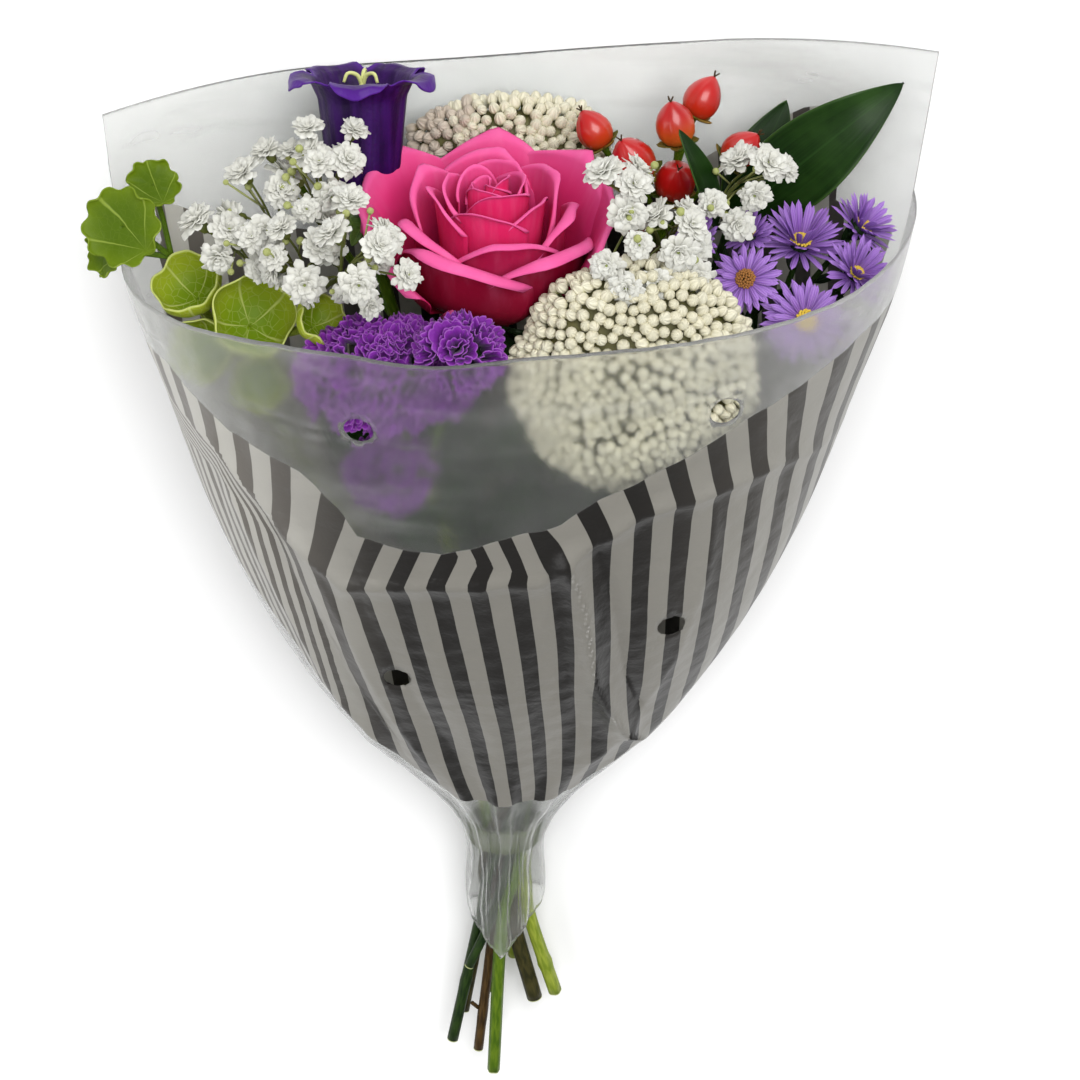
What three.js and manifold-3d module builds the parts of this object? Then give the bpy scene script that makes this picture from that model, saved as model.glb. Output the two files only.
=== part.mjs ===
// A mixed flower bouquet in a printed film sleeve, lying on its back.
//
// Millimetres, +Z up. While it is built, X runs across the bouquet, Y runs from the cut stems to the flower
// heads, and X = 0, Y = 0 is the neck, where the sleeve is gathered. At the end the whole is moved so that the
// origin is under the middle of its box.

import * as THREE from 'three';
import { mergeVertices } from 'three/addons/utils/BufferGeometryUtils.js';
import Module from 'manifold-3d';

const wasm = await Module();
wasm.setup();

// ---------------------------------------------------------------------------------------------------------
// Driving dimensions

const FILM = 0.7; // thickness of the sleeve's wall
const BLADE = 0.8; // thickness of petals and leaves
const CLEARANCE = 0.4; // gap between pieces that touch

const NECK_HEIGHT = 17; // middle of the neck above the floor
const BAND_INNER = 12.2; // radius of the elastic band, inside and outside
const BAND_OUTER = 13.5;
const BAND_WIDTH = 9;

const ROSE_RADIUS = 37;
const ROSE_HEIGHT = 50;
const BELL_LENGTH = 46;
const FLORET_RADIUS = 6.2; // one gypsophila floret
const BERRY_RADIUS = 6.2; // one hypericum berry
const ASTER_RADIUS = 15.5;
const FUNNEL_RADIUS = 8.5; // one pleated statice calyx

const vec = (x, y, z) => new THREE.Vector3(x, y, z);
const UP = vec(0, 0, 1);

// ---------------------------------------------------------------------------------------------------------
// Small tools

// Seeded random numbers, the same on every run.
function randomFrom(seed) {
  let state = seed;
  return (low = 0, high = 1) => {
    state = (state + 0x6d2b79f5) | 0;
    let t = Math.imul(state ^ (state >>> 15), 1 | state);
    t = (t + Math.imul(t ^ (t >>> 7), 61 | t)) ^ t;
    return low + (high - low) * (((t ^ (t >>> 14)) >>> 0) / 4294967296);
  };
}

// A geometry from points and triangles, turned so that its faces point out.
function bodyOf(points, triangles) {
  let volume = 0;
  for (const [a, b, c] of triangles) {
    volume += points[a].dot(points[b].clone().cross(points[c]));
  }
  const facing = volume < 0 ? triangles.map(([a, b, c]) => [a, c, b]) : triangles;
  const geometry = new THREE.BufferGeometry();
  const coordinates = points.flatMap((p) => p.toArray());
  geometry.setAttribute('position', new THREE.Float32BufferAttribute(coordinates, 3));
  geometry.setIndex(facing.flat());
  return geometry;
}

// A geometry made into a solid that can be joined and cut.
function solidOf(geometry) {
  const plain = geometry.clone();
  plain.deleteAttribute('normal');
  plain.deleteAttribute('uv');
  const merged = mergeVertices(plain, 1e-4);
  return new wasm.Manifold(
    new wasm.Mesh({
      numProp: 3,
      vertProperties: new Float32Array(merged.attributes.position.array),
      triVerts: new Uint32Array(merged.index.array),
    }),
  );
}

// Several geometries joined into one body. A hollow that the joining seals is filled, and a loose scrap is
// dropped.
function fuse(geometries) {
  return largest(wasm.Manifold.union(geometries.map(solidOf)));
}

function largest(solid) {
  return solid.decompose().reduce((best, piece) => (piece.volume() > best.volume() ? piece : best));
}

function geometryOf(solid) {
  const mesh = solid.getMesh();
  const geometry = new THREE.BufferGeometry();
  geometry.setAttribute('position', new THREE.BufferAttribute(mesh.vertProperties, 3));
  geometry.setIndex(new THREE.BufferAttribute(mesh.triVerts, 1));
  return geometry;
}

const middleOf = (ring) =>
  ring.reduce((sum, p) => sum.add(p), vec(0, 0, 0)).divideScalar(ring.length);

// A closed body through rings of points, each ring with as many points as the last. Fans close both ends, to
// the middle of the end ring or to a given point.
function loft(rings, below = middleOf(rings[0]), above = middleOf(rings.at(-1))) {
  const sides = rings[0].length;
  const points = rings.flat();
  const triangles = [];
  for (let j = 0; j < rings.length - 1; j++) {
    for (let i = 0; i < sides; i++) {
      const a = j * sides + i;
      const b = j * sides + ((i + 1) % sides);
      triangles.push([a, b, b + sides], [a, b + sides, a + sides]);
    }
  }
  const first = points.push(below) - 1;
  const last = points.push(above) - 1;
  const top = (rings.length - 1) * sides;
  for (let i = 0; i < sides; i++) {
    const next = (i + 1) % sides;
    triangles.push([first, next, i], [last, top + i, top + next]);
  }
  return bodyOf(points, triangles);
}

// A star of thin leaves, such as a calyx, drawn together to points below and above its middle.
function starOfLeaves(count, reach, lift) {
  return loft([zigzag(count, reach, 0.4 * reach, lift, 0)], vec(0, 0, -1.3), vec(0, 0, 1.3));
}

// A ring of points round the Z axis, alternately outer and inner, at heights that alternate too.
function zigzag(count, outer, inner, outerHeight, innerHeight) {
  return Array.from({ length: 2 * count }, (_, i) => {
    const turn = (Math.PI * i) / count;
    const r = i % 2 ? inner : outer;
    return vec(r * Math.cos(turn), r * Math.sin(turn), i % 2 ? innerHeight : outerHeight);
  });
}

// A thin body from an open surface. Its back is moved off the front along the surface's normals.
function thicken(points, triangles, thickness) {
  const normals = points.map(() => vec(0, 0, 0));
  for (const [a, b, c] of triangles) {
    const across = points[b].clone().sub(points[a]);
    const normal = across.cross(points[c].clone().sub(points[a]));
    for (const corner of [a, b, c]) {
      normals[corner].add(normal);
    }
  }
  const count = points.length;
  const back = points.map((p, i) => p.clone().addScaledVector(normals[i].normalize(), -thickness));
  const faces = [...triangles, ...triangles.map(([a, b, c]) => [a + count, c + count, b + count])];
  const open = new Map();
  for (const [a, b, c] of triangles) {
    for (const [from, to] of [[a, b], [b, c], [c, a]]) {
      if (!open.delete(`${to},${from}`)) {
        open.set(`${from},${to}`, [from, to]);
      }
    }
  }
  for (const [from, to] of open.values()) {
    faces.push([to, from, from + count], [to, from + count, to + count]);
  }
  return bodyOf([...points, ...back], faces);
}

// A thin body over a grid, where at(u, v) gives the point for u from -1 to 1 across and v from 0 to 1 along.
function blade(across, along, thickness, at) {
  const points = [];
  const triangles = [];
  for (let j = 0; j <= along; j++) {
    for (let i = 0; i <= across; i++) {
      points.push(at((2 * i) / across - 1, j / along));
    }
  }
  for (let j = 0; j < along; j++) {
    for (let i = 0; i < across; i++) {
      const a = j * (across + 1) + i;
      const d = a + across + 1;
      triangles.push([a, a + 1, d + 1], [a, d + 1, d]);
    }
  }
  return thicken(points, triangles, thickness);
}

// A thin body round an axis: a middle point, then rings, where at(turn, v) gives the point for turn from 0 to
// 1 round the axis and v from 0 in the middle to 1 at the rim.
function dish(sides, rings, thickness, at) {
  const points = [at(0, 0)];
  const triangles = [];
  for (let j = 1; j <= rings; j++) {
    for (let i = 0; i < sides; i++) {
      points.push(at(i / sides, j / rings));
    }
  }
  for (let i = 0; i < sides; i++) {
    const next = (i + 1) % sides;
    triangles.push([0, 1 + i, 1 + next]);
    for (let j = 0; j < rings - 1; j++) {
      const a = 1 + j * sides;
      const d = a + sides;
      triangles.push([a + i, d + i, d + next], [a + i, d + next, a + next]);
    }
  }
  return thicken(points, triangles, thickness);
}

// A round stem along points, from radius to tip radius.
function stem(route, radius, tipRadius = radius, sides = 6, steps = 12) {
  const curve = new THREE.CatmullRomCurve3(route);
  const frames = curve.computeFrenetFrames(steps, false);
  const rings = [];
  for (let j = 0; j <= steps; j++) {
    const middle = curve.getPointAt(j / steps);
    const r = THREE.MathUtils.lerp(radius, tipRadius, j / steps);
    const ring = [];
    for (let i = 0; i < sides; i++) {
      const turn = (2 * Math.PI * i) / sides;
      ring.push(
        middle
          .clone()
          .addScaledVector(frames.normals[j], r * Math.cos(turn))
          .addScaledVector(frames.binormals[j], r * Math.sin(turn)),
      );
    }
    rings.push(ring);
  }
  return loft(rings);
}

const twig = (from, to, radius) => stem([from, to], radius, radius, 3, 1);

// A geometry made round the +Z axis, turned to face a direction and moved to a place.
function placed(geometry, place, direction, spin = 0) {
  const turn = new THREE.Quaternion().setFromUnitVectors(UP, direction.clone().normalize());
  const twist = new THREE.Quaternion().setFromAxisAngle(UP, spin);
  return geometry.clone().applyQuaternion(turn.multiply(twist)).translate(place.x, place.y, place.z);
}

// Directions spread evenly over a ball, by the golden angle, from +Z down to the given lowest height.
function spreadDirections(count, lowest = -1) {
  const golden = Math.PI * (3 - Math.sqrt(5));
  return Array.from({ length: count }, (_, i) => {
    const z = 1 - ((i + 0.5) / count) * (1 - lowest);
    const r = Math.sqrt(1 - z * z);
    return vec(r * Math.cos(i * golden), r * Math.sin(i * golden), z);
  });
}

const bouquet = new THREE.Group();

function add(name, geometry, color, roughness = 0.7) {
  const mesh = new THREE.Mesh(geometry, new THREE.MeshStandardMaterial({ color, roughness, metalness: 0 }));
  mesh.name = name;
  bouquet.add(mesh);
}

// ---------------------------------------------------------------------------------------------------------
// Film sleeve: a flattened cone of two sheets, welded at its side seams

// Sections of the sleeve along Y: half its width, and the heights of its seams, its front and its back.
const SECTIONS = [
  { y: -54, half: 12, seam: 17, front: 30, back: 4 },
  { y: -28, half: 14.9, seam: 17, front: 32, back: 2.4 },
  { y: -4, half: 14.9, seam: 17, front: 31.9, back: 2.1 },
  { y: 18, half: 25, seam: 17, front: 40, back: 1 },
  { y: 54, half: 58, seam: 20, front: 60, back: 0 },
  { y: 99, half: 83, seam: 25, front: 88, back: 0 },
  { y: 149, half: 103, seam: 30, front: 112, back: 0 },
  { y: 200, half: 117, seam: 35, front: 129, back: 0 },
  { y: 245, half: 129, seam: 40, front: 140, back: 0 },
  { y: 305, half: 138, seam: 27, front: 140, back: 0 },
];
const LEAN = 5 / 300; // the sleeve's middle line drifts this much to +X for each millimetre along Y
const FLAT_PART = 0.45; // share of the half width over which the back lies flat
const FRONT_POWER = 0.8; // how boxy the front's arch is
const FRONT_COLUMNS = 22;
const BACK_COLUMNS = 10;
const ROWS = [-38, -20, -4, 12, 28, 50, 82, 122, 165, 208];
const FLAP_ROWS = 2;
const PLEATS = 6;
const PLEAT_DEPTH = 1.6;
const VENT_RADIUS = 4.8;
const VENTS = [
  { x: -43.5, y: 216 },
  { x: 71, y: 220 },
  { x: -35.5, y: 101 },
  { x: 57, y: 126 },
];

// A value of the sections at y, by a smooth curve through them.
function sectionAt(key, y) {
  const last = SECTIONS.length - 1;
  const slope = (k) => {
    const a = SECTIONS[Math.max(k - 1, 0)];
    const b = SECTIONS[Math.min(k + 1, last)];
    return (b[key] - a[key]) / (b.y - a.y);
  };
  let k = 0;
  while (k < last - 1 && y > SECTIONS[k + 1].y) {
    k++;
  }
  const step = SECTIONS[k + 1].y - SECTIONS[k].y;
  const t = (y - SECTIONS[k].y) / step;
  return (
    (2 * t ** 3 - 3 * t ** 2 + 1) * SECTIONS[k][key] +
    (t ** 3 - 2 * t ** 2 + t) * slope(k) * step +
    (3 * t ** 2 - 2 * t ** 3) * SECTIONS[k + 1][key] +
    (t ** 3 - t ** 2) * slope(k + 1) * step
  );
}

const sleeveMiddle = (y) => LEAN * Math.max(0, y);

// Points of the front and the back at u across, from -1 at the left seam to 1 at the right one.
function frontPoint(u, y) {
  const seam = sectionAt('seam', y);
  const arch = Math.max(0, 1 - u * u) ** (FRONT_POWER / 2);
  const fade = Math.exp(-(((y - 20) / 70) ** 2));
  const pleat = PLEAT_DEPTH * fade * arch * (1 + Math.cos(2 * PLEATS * Math.acos(u)));
  return vec(
    sleeveMiddle(y) + sectionAt('half', y) * u,
    y,
    seam + (sectionAt('front', y) - seam) * arch + pleat,
  );
}

function backPoint(u, y) {
  const back = Math.max(0, sectionAt('back', y));
  const rise = Math.max(0, (Math.abs(u) - FLAT_PART) / (1 - FLAT_PART)) ** 2;
  return vec(sleeveMiddle(y) + sectionAt('half', y) * u, y, back + (sectionAt('seam', y) - back) * rise);
}

// The sleeve's edges along Y at u across: the skirt's, which is cut to a point, the front's rim, which dips in
// the middle and rises to the right, the line where the back passes it, and the top of the back sheet.
const skirtEdge = (u) => -54 + 21 * Math.abs(u + 0.15);
const frontRim = (u) => {
  const dip = 3 * Math.exp(-(((u + 0.2) / 0.15) ** 2));
  return 247 + 4 * u - dip + 10 * Math.max(0, u) ** 6;
};
const backRimLine = (u) => 253 + 8 * u;
const flapTop = (u) => 295 + 10 * u;
const LEAST_ROW_STEP = 3; // rows that would fall below the skirt's edge are kept this far apart

function makeSleeve() {
  const around = FRONT_COLUMNS + BACK_COLUMNS;
  const points = [];
  const index = new Map();
  const triangles = [];
  const across = (column) =>
    column <= FRONT_COLUMNS
      ? Math.cos((Math.PI * column) / FRONT_COLUMNS)
      : -Math.cos((Math.PI * (column - FRONT_COLUMNS)) / BACK_COLUMNS);
  const isFront = (column) => column > 0 && column < FRONT_COLUMNS;

  const addPoint = (row, column, y) => {
    const u = across(column);
    const point = isFront(column) ? frontPoint(u, y) : backPoint(u, y);
    index.set(`${row},${column}`, points.push(point) - 1);
  };
  const pointAt = (row, column) => index.get(`${row},${column % around}`);

  const rimRow = ROWS.length + 1;
  for (let column = 0; column < around; column++) {
    const u = across(column);
    const rim = isFront(column) ? frontRim(u) : backRimLine(u);
    [skirtEdge(u), ...ROWS, rim].forEach((y, row) => {
      addPoint(row, column, Math.max(y, skirtEdge(u) + LEAST_ROW_STEP * row));
    });
    for (let step = 1; step <= FLAP_ROWS && !isFront(column); step++) {
      addPoint(rimRow + step, column, THREE.MathUtils.lerp(rim, flapTop(u), step / FLAP_ROWS));
    }
  }
  for (let row = 0; row < rimRow + FLAP_ROWS; row++) {
    for (let column = row < rimRow ? 0 : FRONT_COLUMNS; column < around; column++) {
      const a = pointAt(row, column);
      const b = pointAt(row, column + 1);
      const c = pointAt(row + 1, column + 1);
      const d = pointAt(row + 1, column);
      triangles.push([a, c, b], [a, d, c]);
    }
  }
  const wall = solidOf(thicken(points, triangles, FILM));

  const punches = VENTS.map(({ x, y }) => {
    const u = (x - sleeveMiddle(y)) / sectionAt('half', y);
    const on = frontPoint(u, y);
    const alongX = frontPoint(u + 0.02, y).sub(on);
    const alongY = frontPoint(u, y + 2).sub(on);
    const punch = new THREE.CylinderGeometry(VENT_RADIUS, VENT_RADIUS, 16, 12).rotateX(Math.PI / 2);
    return solidOf(placed(punch, on, alongX.cross(alongY)));
  });
  return geometryOf(largest(punches.reduce((body, punch) => body.subtract(punch), wall)));
}

add('sleeve', makeSleeve(), 0xc9c8c6, 0.35);

// ---------------------------------------------------------------------------------------------------------
// Elastic band round the stems at the neck

function makeBand() {
  const half = BAND_WIDTH / 2;
  const profile = [
    new THREE.Vector2(BAND_INNER, -half),
    new THREE.Vector2(BAND_OUTER, -half),
    new THREE.Vector2(BAND_OUTER, half),
    new THREE.Vector2(BAND_INNER, half),
    new THREE.Vector2(BAND_INNER, -half),
  ];
  return geometryOf(solidOf(new THREE.LatheGeometry(profile, 16).translate(0, -2, NECK_HEIGHT)));
}

add('binding_band', makeBand(), 0x4b5a2e, 0.9);

// ---------------------------------------------------------------------------------------------------------
// Stems: a spiral, as in a hand-tied bunch. Each has a place in the bundle, which turns half round at the
// neck.

const SPIRAL_START = -42; // where the bundle has finished turning, below the neck
const SPIRAL_END = 46; // where it starts to turn, above the neck

const STEMS = {
  moluccella: { slot: [-8.8, 0.6], end: [19, -82, 12], radius: 2.5 },
  rose: { slot: [-2.0, 0.6], end: [11, -84, 13], radius: 3.0 },
  statice: { slot: [-1.8, 6.9], end: [3, -69, 6], radius: 2.3 },
  rice: { slot: [3.6, 6.6], end: [-5, -84, 8], radius: 2.3 },
  gypsophila_right: { slot: [8.0, 4.6], end: [-16, -94, 8], radius: 1.5 },
  hypericum: { slot: [4.2, 0.9], end: [-11, -108, 14], radius: 1.9 },
  aster: { slot: [9.4, -0.6], end: [-21, -104, 13], radius: 2.2 },
  ruscus: { slot: [5.8, -5.2], end: [-14, -63, 22], radius: 1.8 },
  campanula: { slot: [1.3, -6.9], end: [-5, -113, 21], radius: 2.4 },
  gypsophila_left: { slot: [-6.3, 6.0], end: [12, -66, 6], radius: 1.5 },
};

// The route of a stem from its cut end through the neck, then on through the given points.
function stemRoute(name, ...onward) {
  const { slot, end } = STEMS[name];
  const bundle = [0, 0.25, 0.5, 0.75, 1].map((t) => {
    const turn = Math.PI * (1 - t);
    const spread = 1 + 0.5 * Math.max(0, t - 0.5);
    const x = spread * (slot[0] * Math.cos(turn) - slot[1] * Math.sin(turn));
    const z = spread * (slot[0] * Math.sin(turn) + slot[1] * Math.cos(turn));
    return vec(x, THREE.MathUtils.lerp(SPIRAL_START, SPIRAL_END, t), NECK_HEIGHT + z);
  });
  return [vec(...end), ...bundle, ...onward];
}

const mainStem = (name, tip, ...onward) =>
  stem(stemRoute(name, ...onward), STEMS[name].radius, tip, 5, 13);

// A leaf from base to tip with its face to facing: bend arches its rib, and cup lifts its edges.
function leaf({ base, tip, width, facing, bend = 0, cup = 0, across = 2, along = 6 }) {
  const spine = tip.clone().sub(base);
  const length = spine.length();
  const ahead = spine.clone().normalize();
  const side = ahead.clone().cross(facing).normalize();
  const face = side.clone().cross(ahead).normalize();
  return blade(across, along, BLADE, (u, v) => {
    const half = (width / 2) * (Math.sin(Math.PI * v ** 0.8) + 0.12 * (1 - v));
    const lift = bend * length * Math.sin(Math.PI * v) + cup * half * u * u;
    const onSpine = base.clone().addScaledVector(ahead, length * v);
    return onSpine.addScaledVector(side, half * u).addScaledVector(face, lift);
  });
}

// ---------------------------------------------------------------------------------------------------------
// Rose

const ROSE_AXIS = vec(0, Math.cos(0.19), Math.sin(0.19));
const ROSE_BASE = vec(-3.4, 227, 64.5);

// One petal round the bloom's axis: turn is where its middle stands, spread half the angle that it covers.
function rosePetal({ turn, spread, foot = 8, belly, rim, height, flare, across = 3 }) {
  return blade(across, 3, BLADE, (u, v) => {
    const angle = turn + u * spread * (0.45 + 0.55 * Math.sin((Math.PI / 2) * Math.min(1, 1.25 * v)));
    const rise = height * v * (1 - 0.14 * u * u * v);
    const bulge = foot + (belly - foot) * Math.sin((Math.PI / 2) * Math.min(1, 1.7 * v));
    const radius = bulge + (rim - belly) * v ** 2 + flare * v ** 6 * (1 - 0.5 * u * u);
    return vec(radius * Math.cos(angle), radius * Math.sin(angle), 2 + rise);
  });
}

function makeRoseBloom() {
  const bud = [[6, 0], [12, 5], [17, 16], [15, 30], [9, 39], [4, 42]].map(([radius, height]) =>
    Array.from({ length: 10 }, (_, i) => {
      const turn = (2 * Math.PI * i) / 10;
      return vec(radius * Math.cos(turn), radius * Math.sin(turn), height);
    }),
  );
  const pieces = [loft(bud)];
  const layers = [
    { count: 5, spread: 0.72, belly: 29, rim: ROSE_RADIUS - 4, height: 43, flare: 4.5, start: 0.3, across: 4 },
    { count: 4, spread: 0.8, belly: 22.5, rim: 26, height: 46, flare: 3, start: 0.95 },
    { count: 4, spread: 0.75, belly: 17, rim: 18.5, height: 47, flare: 1, start: 0.1 },
    { count: 2, spread: 1.3, foot: 6, belly: 12, rim: 11, height: ROSE_HEIGHT - 3, flare: 0, start: 0.7 },
  ];
  for (const layer of layers) {
    for (let i = 0; i < layer.count; i++) {
      const turn = layer.start + (2 * Math.PI * i) / layer.count;
      const lifted = layer.height + (i % 2) * 2;
      pieces.push(rosePetal({ ...layer, turn, height: lifted }));
    }
  }
  return placed(geometryOf(fuse(pieces)), ROSE_BASE, ROSE_AXIS);
}

function makeRoseStem() {
  const below = (distance) => ROSE_BASE.clone().addScaledVector(ROSE_AXIS, -distance);
  const calyx = new THREE.LatheGeometry(
    [[0, -15], [3.4, -13], [5.6, -7], [6.4, -2], [5.4, 0], [0, 0]].map(([r, y]) => new THREE.Vector2(r, y)),
    8,
  ).rotateX(Math.PI / 2);
  const pieces = [mainStem('rose', 3, vec(-3.2, 130, 44), below(8))];
  pieces.push(placed(calyx, below(CLEARANCE), ROSE_AXIS));
  pieces.push(placed(starOfLeaves(5, 19, -9), below(5), ROSE_AXIS));
  pieces.push(
    leaf({ base: vec(-3.5, 150, 48), tip: vec(-28, 196, 62), width: 24, facing: UP, cup: 0.3, along: 4 }),
    leaf({ base: vec(-2.5, 128, 43), tip: vec(12, 176, 66), width: 22, facing: UP, cup: 0.3, along: 4 }),
  );
  return geometryOf(fuse(pieces));
}

add('rose_bloom', makeRoseBloom(), 0xd8337f, 0.6);
add('rose_stem', makeRoseStem(), 0x5d6b35);

// ---------------------------------------------------------------------------------------------------------
// Campanula: a bell with five reflexed lobes, its style, and the stem with calyx and bud

const BELL_AXIS = vec(0, Math.cos(0.17), -Math.sin(0.17));
const BELL_BASE = vec(-44.5, 256, 45.5);
const BELL_LOBES = 5;
const BELL_RIB = 0.5;
const LOBE_NOTCH = 1.9; // how far the rim draws in between two lobes, for each ring past the mouth
const LOBE_CURL = 2.4; // how far the lobes' tips roll back behind the notches

// Rings from the bell's foot to its lobes' tips: height as a share of the bell's length, and radius.
const BELL_PROFILE = [[0, 0], [0.16, 8.8], [0.34, 11.6], [0.6, 12.2], [0.84, 13.8], [0.97, 18.3], [0.93, 23]];
const MOUTH_RING = 4;

function makeBell() {
  const lastRing = BELL_PROFILE.length - 1;
  return dish(4 * BELL_LOBES, lastRing, BLADE, (turn, v) => {
    const ring = Math.round(v * lastRing);
    const [height, radius] = BELL_PROFILE[ring];
    const angle = 2 * Math.PI * turn;
    const lobe = Math.cos(BELL_LOBES * angle);
    const rib = BELL_RIB * Math.cos(BELL_LOBES * angle) * Math.min(1, 2 * v);
    const reach = ring > MOUTH_RING ? radius - (ring - MOUTH_RING) * LOBE_NOTCH * (1 - lobe) : radius + rib;
    const curl = ring === lastRing ? LOBE_CURL * (1 - lobe) : 0;
    return vec(reach * Math.cos(angle), reach * Math.sin(angle), height * BELL_LENGTH + curl);
  });
}

function makeStyle() {
  const length = BELL_LENGTH * 0.93;
  const foot = vec(0, 0, BLADE + CLEARANCE);
  const pieces = [stem([foot, vec(0.6, 0, length / 2), vec(0, 0, length)], 1.3, 1.5, 5, 2)];
  for (let i = 0; i < 3; i++) {
    const turn = 0.4 + (2 * Math.PI * i) / 3;
    const out = (r, z) => vec(r * Math.cos(turn), r * Math.sin(turn), length + z);
    pieces.push(stem([out(0, -1), out(1.8, 2.4), out(5, 3.2), out(6.4, 0.4)], 1.1, 0.8, 4, 4));
  }
  return geometryOf(fuse(pieces));
}

function makeCampanulaStem() {
  const below = (distance) => BELL_BASE.clone().addScaledVector(BELL_AXIS, -distance);
  const pieces = [mainStem('campanula', 2, vec(-14, 120, 14), vec(-33, 200, 30), below(4))];
  const cup = new THREE.LatheGeometry(
    [[0, -6], [4.2, -4], [5.6, -0.6], [0, -0.6]].map(([r, y]) => new THREE.Vector2(r, y)),
    8,
  ).rotateX(Math.PI / 2);
  pieces.push(placed(cup, below(BLADE), BELL_AXIS));
  pieces.push(placed(starOfLeaves(5, 12, -5), below(4), BELL_AXIS));
  const budTip = vec(-68, 279, 50);
  const budBase = vec(-66, 266, 46);
  pieces.push(stem([vec(-35, 210, 32), vec(-54, 240, 34), budBase], 1.4, 1.2, 5, 5));
  pieces.push(stem([budBase, vec(-67, 272, 48), budTip], 4.2, 1.2, 6, 3));
  return geometryOf(fuse(pieces));
}

add('campanula_bell', placed(makeBell(), BELL_BASE, BELL_AXIS, 0.3), 0x45187a, 0.55);
add('campanula_style', placed(makeStyle(), BELL_BASE, BELL_AXIS), 0xb9c97a);
add('campanula_stem', makeCampanulaStem(), 0x6f9a3a);

// ---------------------------------------------------------------------------------------------------------
// Gypsophila: two branching sprays of small double florets

function floret(radius) {
  const outer = zigzag(5, radius, 0.72 * radius, 0, 1);
  const inner = zigzag(5, 0.5 * radius, 0.78 * radius, 3.6, 2.4);
  return loft([outer, inner], vec(0, 0, -3), vec(0, 0, 2.4));
}

// Florets round a few clusters, each on a twig from its cluster's fork.
function makeGypsophila({ name, seed, onward, clusters }) {
  const random = randomFrom(seed);
  const fork = onward.at(-1);
  const pieces = [mainStem(name, 1.2, ...onward)];
  for (const { at, count, size } of clusters) {
    const knot = fork.clone().lerp(at, 0.62);
    pieces.push(stem([fork, fork.clone().lerp(knot, 0.5).add(vec(0, 2, -2)), knot], 1, 0.8, 4, 2));
    pieces.push(new THREE.OctahedronGeometry(2).translate(...knot.toArray()));
    for (const way of spreadDirections(count, -0.35)) {
      const jitter = vec(random(-1, 1), random(-1, 1), random(-1, 1)).multiplyScalar(1.6);
      const tilted = way.clone().applyAxisAngle(vec(1, 0, 0), -0.9);
      const place = at.clone().addScaledVector(tilted, size).add(jitter);
      const facing = tilted.clone().multiplyScalar(1.2).add(vec(0, 0.5, 0.6));
      const radius = FLORET_RADIUS * random(0.86, 1.06);
      pieces.push(placed(floret(radius), place, facing, random(0, 6)));
      pieces.push(twig(knot, place, 0.55));
    }
  }
  return geometryOf(fuse(pieces));
}

add(
  'gypsophila_left',
  makeGypsophila({
    name: 'gypsophila_left',
    seed: 11,
    onward: [vec(-27, 120, 44), vec(-56, 200, 62), vec(-62, 232, 74)],
    clusters: [
      { at: vec(-53, 281, 76), count: 4, size: 10 },
      { at: vec(-75, 269, 71), count: 5, size: 12 },
      { at: vec(-60, 260, 93), count: 5, size: 12 },
      { at: vec(-90, 260, 76), count: 3, size: 8 },
      { at: vec(-42, 269, 113), count: 4, size: 11 },
    ],
  }),
  0xeef0ea,
);
add(
  'gypsophila_right',
  makeGypsophila({
    name: 'gypsophila_right',
    seed: 23,
    onward: [vec(28, 120, 36), vec(50, 200, 47), vec(54, 244, 54)],
    clusters: [
      { at: vec(42, 284, 90), count: 4, size: 9 },
      { at: vec(55, 273, 93), count: 4, size: 9 },
      { at: vec(82, 279, 64), count: 4, size: 9 },
    ],
  }),
  0xeef0ea,
);

// ---------------------------------------------------------------------------------------------------------
// Rice flower: domes of round buds, raised from a ball's surface, on one branching stem

// A ball of unit radius whose points lie on a three-cornered lattice; every third point is raised as a bud.
function knobblyBall(cells, raise) {
  const corners = new THREE.IcosahedronGeometry(1, 0).attributes.position;
  const positions = [];
  const corner = (k) => new THREE.Vector3().fromBufferAttribute(corners, k);
  for (let face = 0; face < corners.count; face += 3) {
    const [a, b, c] = [corner(face), corner(face + 1), corner(face + 2)];
    const at = (i, j) => {
      const p = a.clone().multiplyScalar(cells - i - j).addScaledVector(b, i).addScaledVector(c, j);
      return p.normalize().multiplyScalar((i - j + 3 * cells) % 3 === 0 ? 1 + raise : 1);
    };
    for (let i = 0; i < cells; i++) {
      for (let j = 0; j < cells - i; j++) {
        positions.push(at(i, j), at(i + 1, j), at(i, j + 1));
        if (i + j < cells - 1) {
          positions.push(at(i + 1, j), at(i + 1, j + 1), at(i, j + 1));
        }
      }
    }
  }
  const coordinates = positions.flatMap((p) => p.toArray());
  const geometry = new THREE.BufferGeometry();
  return geometry.setAttribute('position', new THREE.Float32BufferAttribute(coordinates, 3));
}

const RICE_FRONT = { middle: vec(43, 222, 99), size: vec(38, 38, 18), cells: 9, raise: 0.1 };
const RICE_BACK = { middle: vec(3, 270, 19), size: vec(33, 15, 12), cells: 6, raise: 0.13 };

function makeRiceFlower() {
  const fork = vec(18, 160, 50);
  const pieces = [mainStem('rice', 2, vec(12, 110, 38), fork)];
  for (const { middle, size, cells, raise } of [RICE_FRONT, RICE_BACK]) {
    const dome = knobblyBall(cells, raise).scale(size.x, size.y, size.z).translate(...middle.toArray());
    pieces.push(dome, stem([fork, fork.clone().lerp(middle, 0.5).add(vec(2, 0, -3)), middle], 2, 1.6, 5, 4));
  }
  return geometryOf(fuse(pieces));
}

add('rice_flower', makeRiceFlower(), 0xe2dfc6);

// ---------------------------------------------------------------------------------------------------------
// Statice: clusters of pleated funnels

function funnel(radius) {
  return loft([zigzag(5, radius, 0.72 * radius, 11, 13.5)], vec(0, 0, -1), vec(0, 0, 7));
}

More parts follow.
